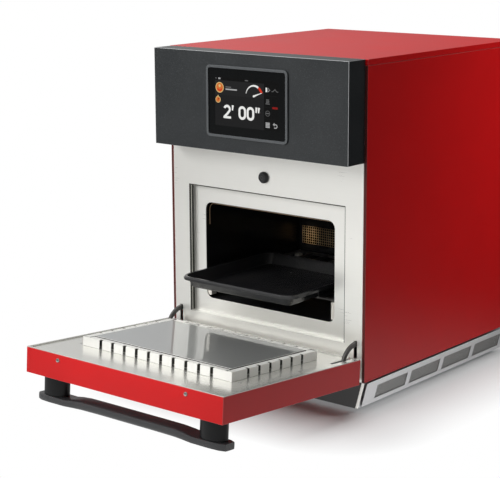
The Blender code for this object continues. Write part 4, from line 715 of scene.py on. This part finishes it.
# %% Weave the mesh over the intake slots
TARNISH_SIZE = 0.008
bronze = Finish("bronze_mesh_wire", (0.5, 0.36, 0.2), 0.4, 0.5)
tarnish = bronze.noise(TARNISH_SIZE)
bronze.put("Base Color", bronze.between(tarnish, (0.6, 0.42, 0.24), (0.9, 0.7, 0.44)))
bronze.put("Roughness", tarnish * 0.3 + 0.25)
back_low = Vector(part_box("cavity_back")[0])
MESH_CELL, MESH_WIRE = 5.2 * MM, 1.1 * MM
MESH_WIDTH, MESH_HEIGHT = 290 * MM, 36.4 * MM
mesh_foot = base_z + 206 * MM
bpy.ops.object.select_all(action="DESELECT")
bpy.ops.mesh.primitive_grid_add(
    x_subdivisions=round(MESH_WIDTH / MESH_CELL), y_subdivisions=round(MESH_HEIGHT / MESH_CELL), size=1,
    location=(0, back_low.y - 1.0 * MM, mesh_foot + MESH_HEIGHT / 2), rotation=UPRIGHT,
)
intake_mesh = bpy.context.active_object
intake_mesh.name = "intake_mesh"
intake_mesh.scale = (MESH_WIDTH, MESH_HEIGHT, 1)
bpy.ops.object.transform_apply(location=True, rotation=True, scale=True)
wires = intake_mesh.modifiers.new("wires", "WIREFRAME")
wires.thickness = MESH_WIRE
wires.use_even_offset = False
apply_all(intake_mesh)
coat(intake_mesh, bronze.material)
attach(intake_mesh, "oven")
print("mesh has", len(intake_mesh.data.polygons), "faces")

# %% [markdown]
# A tan rope seal lies in the mouth. Only its run along the top and the ends that turn down at both
# sides come out from behind the face, so only these are made. The path starts as a rectangle whose
# corners are bevelled round. Its face and its lower corners are deleted, and what is left of the
# sides is drawn down by an extrusion.

# %% Draw the path of the rope seal
SEAL_HALF, SEAL_LOW, SEAL_HIGH = 150.6 * MM, 151 * MM, 332.6 * MM
SEAL_BEND, SEAL_DROP = 12 * MM, 30 * MM
seal_middle = base_z + (SEAL_LOW + SEAL_HIGH) / 2
bpy.ops.object.select_all(action="DESELECT")
bpy.ops.mesh.primitive_plane_add(size=1, location=(0, front_y + 20 * MM, seal_middle), rotation=UPRIGHT)
seal = bpy.context.active_object
seal.name = "mouth_rope_seal"
seal.scale = (SEAL_HALF * 2, SEAL_HIGH - SEAL_LOW, 1)
bpy.ops.object.transform_apply(location=True, rotation=True, scale=True)
bpy.ops.object.mode_set(mode="EDIT")
bpy.ops.mesh.select_all(action="SELECT")
bpy.ops.mesh.bevel(offset=SEAL_BEND, segments=7, affect="VERTICES")
bpy.ops.mesh.delete(type="ONLY_FACE")
bpy.ops.object.mode_set(mode="OBJECT")


def select_below(piece, height):
    """Selects the points under a height, and goes into edit mode."""
    bpy.ops.object.mode_set(mode="EDIT")
    bpy.ops.mesh.select_all(action="DESELECT")
    bpy.ops.object.mode_set(mode="OBJECT")
    for vertex in piece.data.vertices:
        vertex.select = vertex.co.z < height
    bpy.ops.object.mode_set(mode="EDIT")


select_below(seal, seal_middle)
bpy.ops.mesh.delete(type="VERT")
select_below(seal, base_z + SEAL_HIGH - SEAL_BEND + 1 * MM)
bpy.ops.mesh.extrude_region_move(TRANSFORM_OT_translate={"value": (0, 0, -SEAL_DROP)})
bpy.ops.object.mode_set(mode="OBJECT")
print("seal path has", len(seal.data.vertices), "points")

# %% [markdown]
# A mesh line has no thickness. Turned into a curve it can be given a round one, and then it comes
# back as a mesh.

# %% Thicken the rope seal
SEAL_RADIUS = 0.6 * MM
bpy.ops.object.convert(target="CURVE")
seal.data.bevel_depth = SEAL_RADIUS
seal.data.bevel_resolution = 2
bpy.ops.object.convert(target="MESH")
seal = bpy.context.active_object
bpy.ops.object.shade_smooth()
coat(seal, tan_rope)
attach(seal, "oven")
print("seal laid,", len(seal.data.polygons), "faces")

# %% [markdown]
# Round fittings come next: the socket in the rubber buffer, the hexagons of the two door screws, the
# flush rivets in the door's panel and the screws of the rear panel. All are flat buttons with a sunk
# middle, so one helper turns them from a cylinder: its front face is inset twice, and the innermost
# face is pushed in.

# %% Make a round button with a sunk middle
INNER_SLOPE = 0.2 * MM


def fitting(name, place, facing, radius, height, rim, sink, finish, body, slot, sides=28):
    """Facing is the button's turn about X, from lying with its face up."""
    bpy.ops.object.select_all(action="DESELECT")
    bpy.ops.mesh.primitive_cylinder_add(
        vertices=sides, radius=radius, depth=height, location=place, rotation=(facing, 0, 0)
    )
    piece = bpy.context.active_object
    piece.name = name
    outward = Matrix.Rotation(facing, 3, "X") @ Vector((0, 0, 1))
    bpy.ops.object.transform_apply(location=True, rotation=True, scale=True)
    bpy.ops.object.mode_set(mode="EDIT")
    bpy.ops.mesh.select_mode(type="FACE")
    bpy.ops.mesh.select_all(action="DESELECT")
    bpy.ops.object.mode_set(mode="OBJECT")
    for face in piece.data.polygons:
        face.select = face.normal.dot(outward) > 0.9
    bpy.ops.object.mode_set(mode="EDIT")
    bpy.ops.mesh.inset(thickness=rim)
    bpy.ops.mesh.inset(thickness=INNER_SLOPE)
    bpy.ops.transform.translate(value=outward * -sink)
    bpy.ops.object.mode_set(mode="OBJECT")
    round_off = piece.modifiers.new("round_off", "BEVEL")
    round_off.width = min(0.3 * MM, rim / 4)
    round_off.segments = 2
    apply_all(piece)
    bpy.ops.object.shade_smooth_by_angle(angle=math.radians(40))
    coat(piece, finish)
    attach(piece, body)


print("button helper ready")

# %% [markdown]
# The buffer is held by a screw in a ring. Both are sunk in the rubber until they stand proud by less
# than a tenth of a millimetre, because the closed door comes within a third of one. Each socket of
# the door's screws is a six-sided button with a thin rim. It lies in the door's plane, which is
# tilted a little.

# %% Set the buffer's screw and the door's sockets
FRONT = math.pi / 2
DOOR_SLOPE = math.radians(4.157)
buffer_low, buffer_high = (Vector(corner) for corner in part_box("door_buffer"))
buffer_z = (buffer_low.z + buffer_high.z) / 2
ring_place, screw_place = (0, buffer_low.y + 0.54 * MM, buffer_z), (0, buffer_low.y + 0.64 * MM, buffer_z)
# A button's four sizes are its radius, its height, its rim and how deep its middle is sunk.
ring, screw = (7.6 * MM, 1.2 * MM, 1.6 * MM, 0.1 * MM), (3.4 * MM, 1.4 * MM, 0.9 * MM, 0.1 * MM)
fitting("buffer_ring", ring_place, FRONT, *ring, glass_black, "oven", "rubber")
fitting("buffer_screw", screw_place, FRONT, *screw, dark_steel, "oven", "cast_steel")
socket, tilt = (2.9 * MM, 1.0 * MM, 0.5 * MM, 0.04 * MM), FRONT + DOOR_SLOPE
for side in ("left", "right"):
    low, high = (Vector(corner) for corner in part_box("door_screw_" + side))
    middle = ((low.x + high.x) / 2, low.y + 0.66 * MM, (low.z + high.z) / 2)
    # The sockets' dark steel is painted shade, for the hollow of each hexagon.
    fitting("screw_socket_" + side, middle, tilt, *socket, painted_shade_steel, "door", "cast_steel", 6)
print("buffer's screw and door's sockets set")

# %% [markdown]
# Four rivets hold the door's panel beside the seal. They are flush with it, so what shows is a dished
# ring. Their places are given from the front plane and the base.

# %% Rivet the door's panel
RIVET_PLACES = ((186, -295, 117.35), (-186, -295, 117.35), (206, -159, 107.45), (-206, -159, 107.45))
rivet = (3.2 * MM, 0.5 * MM, 1.0 * MM, 0.4 * MM)
for index, (x, y, z) in enumerate(RIVET_PLACES):
    place = (x * MM, front_y + y * MM, base_z + z * MM)
    fitting(f"panel_rivet_{index}", place, -DOOR_SLOPE, *rivet, arm_steel, "door", "stainless")
print(len(RIVET_PLACES), "rivets set")

# %% [markdown]
# The rear panel comes off for repairs, so it is screwed on: six round heads down each side, evenly
# spaced, a little in from the edge.

# %% Screw on the rear panel
HEADS_PER_SIDE = 6
FIRST_HEAD, LAST_HEAD, FROM_EDGE = 22 * MM, 18 * MM, 9 * MM
rear_low, rear_high = (Vector(corner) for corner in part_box("rear_panel"))
head_step = (rear_high.z - rear_low.z - FIRST_HEAD - LAST_HEAD) / (HEADS_PER_SIDE - 1)
head = (3.8 * MM, 1.6 * MM, 1.3 * MM, 0.7 * MM)
for index in range(2 * HEADS_PER_SIDE):
    side, row = (index % 2) * 2 - 1, index // 2
    height = rear_low.z + FIRST_HEAD + row * head_step
    place = (side * (rear_high.x - FROM_EDGE), rear_high.y + 0.3 * MM, height)
    fitting(f"rear_screw_{index}", place, -FRONT, *head, arm_steel, "oven", "galvanised", 24)
print("rear screws", round(head_step / MM, 1), "mm apart")

# %% [markdown]
# The screen shows a cooking programme under way: a dial, the minutes and seconds left, and columns
# of plain keys. It could be one image on the glass, but an image blurs close up. So each mark is a
# sheet that lies a few hundredths of a millimetre before the glass and stays crisp however close one
# looks. First come the lit colours, with the fine grid of picture points in them.

# %% Light up the screen's colours
glass_low, glass_high = (Vector(corner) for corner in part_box("touch_glass"))
screen_u = (glass_low.x + glass_high.x) / 2
screen_v = (glass_low.z + glass_high.z) / 2
GLASS_Y = glass_low.y
POINT = 0.35 * MM


def lit(name, colour):
    paint = Finish(name, (0.002, 0.002, 0.002), 0.25, Emission_Strength=1.0, Specular_IOR_Level=0.1)
    across, up = paint.along("X") / POINT, paint.along("Z") / POINT
    gap = (across.fraction() - 0.9).highest(up.fraction() - 0.9).above(0.0)
    dim = tuple(channel * 0.8 for channel in colour)
    paint.put("Emission Color", paint.between(gap, colour, dim))
    return paint.material


SCREEN_COLOURS = {
    "field_upper": (0.0125, 0.0125, 0.013),
    "field_lower": (0.0095, 0.0095, 0.01),
    "black": (0.0006, 0.0006, 0.0006),
    "line": (0.006, 0.006, 0.006),
    "white": (0.82, 0.82, 0.8),
    "light": (0.4, 0.4, 0.4),
    "grey": (0.12, 0.12, 0.12),
    "red": (0.6, 0.035, 0.012),
    "dark_red": (0.25, 0.008, 0.006),
    "orange": (0.62, 0.16, 0.03),
    "cream": (0.72, 0.5, 0.2),
}
screen_paints = {name: lit("screen_" + name, colour) for name, colour in SCREEN_COLOURS.items()}
screen_marks = {name: [] for name in SCREEN_COLOURS}
print(len(screen_paints), "screen colours")

# %% [markdown]
# Three helpers make all the marks: a tile with rounded corners, a disc, which may have a hole, and a
# stroke. Each takes millimetres from the middle of the display, and a layer, so that a mark on top
# of another lies a hair before it and the two don't flicker.

# %% Make helpers for the marks
LIFT = 0.02 * MM
FLATTEN = 0.004


def face_front(piece, layer):
    """Turns a flat mark towards the user and gives it its place in its mesh."""
    piece.location.y = GLASS_Y - LIFT * (layer + 1)
    pick(piece)
    bpy.ops.object.transform_apply(location=True, rotation=True, scale=True)


def tile(colour, u0, u1, v0, v1, layer=1, corner=0.3):
    places = (screen_u + u0 * MM, screen_u + u1 * MM, screen_v + v0 * MM, screen_v + v1 * MM)
    screen_marks[colour].append(upright_plate(*places, GLASS_Y - LIFT * (layer + 1), corner * MM))


def disc(colour, u, v, radius, layer=1, hole=0.0):
    bpy.ops.object.select_all(action="DESELECT")
    middle = (screen_u + u * MM, GLASS_Y, screen_v + v * MM)
    bpy.ops.mesh.primitive_circle_add(
        vertices=32, radius=radius * MM, fill_type="NGON", location=middle, rotation=UPRIGHT
    )
    piece = bpy.context.active_object
    face_front(piece, layer)
    if hole:
        bpy.ops.object.mode_set(mode="EDIT")
        bpy.ops.mesh.select_all(action="SELECT")
        bpy.ops.mesh.inset(thickness=(radius - hole) * MM)
        bpy.ops.mesh.delete(type="FACE")
        bpy.ops.object.mode_set(mode="OBJECT")
    screen_marks[colour].append(piece)


def stroke(colour, points, layer=1, closed=False):
    """A ribbon through points (u, v, half width), squared off at its ends."""
    line = bpy.data.curves.new("stroke", "CURVE")
    line.dimensions = "3D"
    line.bevel_depth = 1.0
    line.bevel_resolution = 0
    line.use_fill_caps = True
    path = line.splines.new("POLY")
    path.points.add(len(points) - 1)
    for point, (u, v, half) in zip(path.points, points):
        point.co = (screen_u + u * MM, 0, screen_v + v * MM, 1)
        point.radius = half * MM
    path.use_cyclic_u = closed
    piece = bpy.data.objects.new("stroke", line)
    bpy.context.scene.collection.objects.link(piece)
    pick(piece)
    bpy.ops.object.convert(target="MESH")
    piece = bpy.context.active_object
    piece.scale = (1, FLATTEN, 1)
    face_front(piece, layer)
    screen_marks[colour].append(piece)


print("marks lie", LIFT / MM, "mm apart")

# %% [markdown]
# The dial and the round digits need strokes that bend. Their points are worked out along an arc, and
# the stroke may grow wider on its way, as the dial's band does.

# %% Work out the points of an arc
def arc(u, v, radius, start, end, half, steps=24, half_end=None, squash=1.0):
    """Points along an arc, for a stroke whose width may change."""
    half_end = half if half_end is None else half_end
    points = []
    for step in range(steps + 1):
        share = step / steps
        angle = math.radians(start + (end - start) * share)
        width = half + (half_end - half) * share
        points.append((u + radius * math.cos(angle), v + radius * squash * math.sin(angle), width))
    return points


print("an arc has", len(arc(0, 0, 1, 0, 90, 1)), "points unless told otherwise")

# %% [markdown]
# The display is 148 by 88 mm. Its ground is two dark fields on the left, a black band above them and
# a black column of keys on the right, parted by lines that can hardly be seen.

# %% Lay the screen's fields
tile("field_upper", -74, 40.5, 11.7, 38.8, 0)
tile("field_lower", -74, 40.5, -44, 11.5, 0)
tile("black", 41, 74, -44, 44, 0)
tile("black", -74, 40.8, 39, 44, 0)
for v0 in (18, -2.3, -23.5):
    tile("line", 41.5, 73.5, v0 - 0.25, v0 + 0.25, 1, 0.1)
tile("line", 57, 57.5, -43.5, 38.5, 2, 0.1)
tile("grey", -73, -70, 41.2, 42.8)
tile("light", -66, -61, 40.4, 43.2)
tile("grey", -3.5, 4, 40.8, 42.6)
print("fields laid")

# %% [markdown]
# The upper field has a round picture, two lines of writing and a dial whose band grows towards the
# red. The writing is drawn as plain bars. Under it, at the left of the lower field, is a small clock.

# %% Draw the dial and the small marks
disc("cream", -63, 25.5, 9.6)
disc("orange", -63, 25.5, 8.2, 2)
stroke("red", arc(-63, 25.5, 5.2, 200, 340, 1.3), 3)
disc("cream", -63, 28.4, 2.6, 3)
tile("grey", -49, -36, 26.3, 28.3)
tile("light", -49, -22, 22.0, 24.4)
stroke("white", arc(17.5, 15.0, 18.7, 169, 58, 0.5, half_end=2.0))
stroke("red", arc(17.5, 15.0, 18.7, 57, 20, 2.1, half_end=2.6))
stroke("white", [(16.5, 14.6, 1.9), (25, 18.0, 1.0), (35.5, 21.8, 0.5)], 3)
disc("white", 16.9, 14.9, 2.0, 3)
disc("cream", -67, 3.3, 6.0, hole=4.7)
disc("orange", -67, 3.3, 4.6)
stroke("dark_red", [(-67, 3.3, 1.0), (-64.6, 5.6, 1.0)], 2)
tile("cream", -68.2, -65.8, 9.6, 11.2)
print("dial and small marks drawn")

# %% [markdown]
# The time is written in tall, heavy digits. Blender's own typeface is wider and thinner, so each is
# a stroke: the two bends over and runs down to a bar, a nought is a closed loop of two arcs, and the
# minute and second signs are wedges.

# %% Draw the minutes and seconds
two = arc(-45.6, -12.9, 6.4, 165, -25, 2.3, 14, squash=0.9) + [(-44.5, -20.6, 2.3), (-51.6, -27.0, 2.3)]
stroke("white", two)
tile("white", -54.4, -36.4, -29.8, -25.6, corner=0.2)
for u in (-9.9, 9.2):
    top = arc(u, -13.2, 6.5, 0, 180, 2.4, 14, squash=0.92)
    stroke("white", top + arc(u, -21.3, 6.5, 180, 360, 2.4, 14, squash=0.92), closed=True)
for u in (-32.3, 23.0, 28.6):
    stroke("white", [(u + 0.3, -4.9, 2.4), (u - 0.7, -14.6, 1.4)])
print("time drawn")

# %% [markdown]
# The column on the right holds plain keys: a loudspeaker, a trace, a stack of shelves, a red bar, a
# round key, a menu of four bars and an arrow that turns back.

# %% Draw the keys on the right
stroke("white", [(46.0, 24.6, 1.6), (46.0, 32.4, 1.6)])
stroke("light", [(49.4, 24.8, 0.5), (54.0, 28.4, 0.5), (49.4, 32.0, 0.5), (49.4, 24.8, 0.5)])
trace = [(57.8, 26.2, 0.6), (61.0, 26.4, 0.7), (65.5, 30.2, 0.9), (69.5, 26.4, 0.7), (73.0, 26.0, 0.6)]
stroke("grey", trace)
for v, half in ((10.8, 3.4), (8.4, 3.6), (6.0, 3.6), (3.6, 4.9)):
    tile("grey", 48.9 - half, 48.9 + half, v - 0.75, v + 0.75)
tile("dark_red", 59.3, 71.8, -4.6, -1.0, corner=1.2)
disc("grey", 48.9, -13.5, 5.1, hole=4.2)
tile("grey", 45.2, 52.6, -14.4, -12.6)
for v in (-30.6, -33.1, -35.6, -38.1):
    tile("light", 44.2, 53.6, v - 0.95, v + 0.95, corner=0.2)
bend = arc(67.2, -35.2, 3.0, 80, -90, 0.9, 10)
stroke("light", [(62.0, -32.2, 0.9), (67.2, -32.2, 0.9)] + bend + [(63.4, -38.2, 0.9)])
stroke("light", [(64.4, -29.6, 0.7), (61.4, -32.2, 0.7), (64.4, -34.8, 0.7)])
print("keys drawn")

# %% [markdown]
# Nearly fifty marks would be as many pieces to keep track of. Those of one colour share a finish, so
# they are joined into one piece.

# %% Join the marks by colour
for colour, marks in screen_marks.items():
    join(marks, "screen_marks_" + colour, screen_paints[colour], "oven")
print("screen joined into", len(screen_marks), "pieces")

# %% [markdown]
# The studio is a pale floor in a white surround. Near the oven the floor is matt paint, which takes
# the lamps and keeps the shadow. A black card lies on it at the right, in front of the oven, and
# keeps the floor's light off the door's end and the foot of the casing.

# %% Paint the floor
PAINT_WHITE, CARD_BLACK = (0.74, 0.74, 0.74), (0.2, 0.2, 0.2)
FLOOR_Z = -0.0004
bpy.ops.object.select_all(action="DESELECT")
bpy.ops.mesh.primitive_plane_add(size=60, location=(0, 0, FLOOR_Z))
floor = bpy.context.active_object
floor.name = "studio_floor"
paint = Finish("studio_floor_paint", PAINT_WHITE, 0.9, Specular_IOR_Level=0.1)
spot = paint.place()
right, ahead = paint.axis(spot, "X"), paint.axis(spot, "Y") * -1
black_card = ((right - 0.3) * 5.0).held() * ((ahead + 0.05) * 4.0).held()
paint.put("Base Color", paint.between(black_card, PAINT_WHITE, CARD_BLACK))
print("floor painted")

# %% [markdown]
# A reflection in steel or glass finds the floor too. To it the floor is bright in front and on the
# right, darker on the left, and a little darker again far in front. At the right behind the oven a
# studio hangs a dark cloth. So the steel has a gradient and the red coat stays deep.

# %% Choose what a reflection finds
CLOTH_LEVEL = 0.08
DARKEST_FLOOR = 0.22
path = paint.add("ShaderNodeLightPath").socket.node.outputs
seen, mirrored = Wire(paint, path["Is Camera Ray"]), Wire(paint, path["Is Glossy Ray"])
far_ahead = ((ahead - 1.7) * 0.6).held()
shine = (0.62 + right * 1.2 + ahead * 1.08).highest(DARKEST_FLOOR).lowest(1.0 - far_ahead * 0.5)
behind = ((right * 0.64 - ahead * 0.77 - 0.45) * 2.0).held()
shine = shine * (1 - behind * (1 - CLOTH_LEVEL))
strength = (1 - mirrored) + mirrored * shine
print("cloth shines at", CLOTH_LEVEL)

# %% [markdown]
# Away from the oven the floor turns by degrees into plain white, so that no horizon shows. The paint
# can't get there by itself, because a lamp that made it white would bleach the oven too. So a glow
# takes over, by the distance from a rectangle round the oven, and only where the camera looks.

# %% Fade the floor into white
FADE_WIDTH = 0.2
glow = paint.add("ShaderNodeEmission", values={"Color": (1.0, 1.0, 1.0), "Strength": strength})
aside = (right.size() - 0.2).highest(0.0)
beyond = ((ahead + 0.16).size() - 0.26).highest(0.0)
away = (aside * aside + beyond * beyond) ** 0.5
white = ((away / FADE_WIDTH).held() * seen).highest(mirrored)
shown = paint.add("ShaderNodeMixShader", values={0: white, 1: Wire(paint, paint.shader.outputs[0]), 2: glow})
paint.tree.links.new(shown.socket, paint.tree.nodes["Material Output"].inputs["Surface"])
coat(floor, paint.material)
print("floor fades within", FADE_WIDTH, "m")

# %% [markdown]
# The surround is white to the camera and to a look through glass. A reflection finds it white too,
# apart from the dark cloth at the back. To everything else it is a weak even light from all sides,
# which fills the shadows.

# %% Light the surround
AMBIENT = 0.155
world = bpy.data.worlds.new("studio_surround")
bpy.context.scene.world = world
world.use_nodes = True
surround = Bench(world.node_tree)
rays = surround.add("ShaderNodeLightPath").socket.node.outputs
way = surround.add("ShaderNodeTexCoord")
to_back_right = surround.axis(way, "X") * 0.5 + surround.axis(way, "Y") * 0.87
cloth = 1.0 - (to_back_right * 1.7).held() * (1.0 - CLOTH_LEVEL)
level = Wire(surround, rays["Is Camera Ray"]).highest(Wire(surround, rays["Is Transmission Ray"]))
level = level.highest(Wire(surround, rays["Is Glossy Ray"]) * cloth).highest(AMBIENT)
background = world.node_tree.nodes["Background"]
background.inputs["Color"].default_value = (1, 1, 1, 1)
surround.plug(background.inputs["Strength"], level)
print("surround fills at", AMBIENT)

# %% [markdown]
# Softboxes do the rest: a large one at the front left, one overhead, a small one for the foot of the
# steel face and one at the back right for the red side. A weak warm lamp shines on the mesh in the
# cavity. A smaller spread narrows a lamp's beam. None of them shows in a reflection, where a bright
# rectangle would look like a fault in the steel.

# %% Hang the lamps
WARM = (1.0, 0.82, 0.58)


def lamp(name, place, target, size, power, spread=180, colour=(1, 1, 1)):
    light = bpy.data.lights.new(name, "AREA")
    light.shape = "RECTANGLE"
    light.size, light.size_y = size
    light.energy = power
    light.spread = math.radians(spread)
    light.color = colour
    holder = bpy.data.objects.new(name, light)
    bpy.context.scene.collection.objects.link(holder)
    holder.location = place
    holder.rotation_euler = (Vector(target) - Vector(place)).to_track_quat("-Z", "Y").to_euler()
    holder.visible_glossy = False


lamp("key_softbox", (-1.8, -2.3, 1.7), (0, -0.1, 0.3), (1.4, 1.2), 84)
lamp("top_softbox", (0.1, -0.5, 2.6), (0, 0, 0.3), (1.6, 1.6), 34)
lamp("foot_softbox", (0.0, -0.9, 0.4), (0.05, 0, 0.11), (0.4, 0.2), 0.2, 32)
lamp("side_softbox", (1.15, 1.05, 1.2), (0.1, 0.5, 0.5), (0.7, 0.7), 1.7, 50)
bulb_place = (-0.118, back_low.y - 0.09, base_z + 0.285)
mesh_place = (-0.123, back_low.y, base_z + 0.226)
lamp("cavity_lamp", bulb_place, mesh_place, (0.02, 0.01), 0.0035, 24, WARM)
bpy.context.scene.view_settings.view_transform = "Standard"
print("studio lit by", len(bpy.data.lights), "lamps")
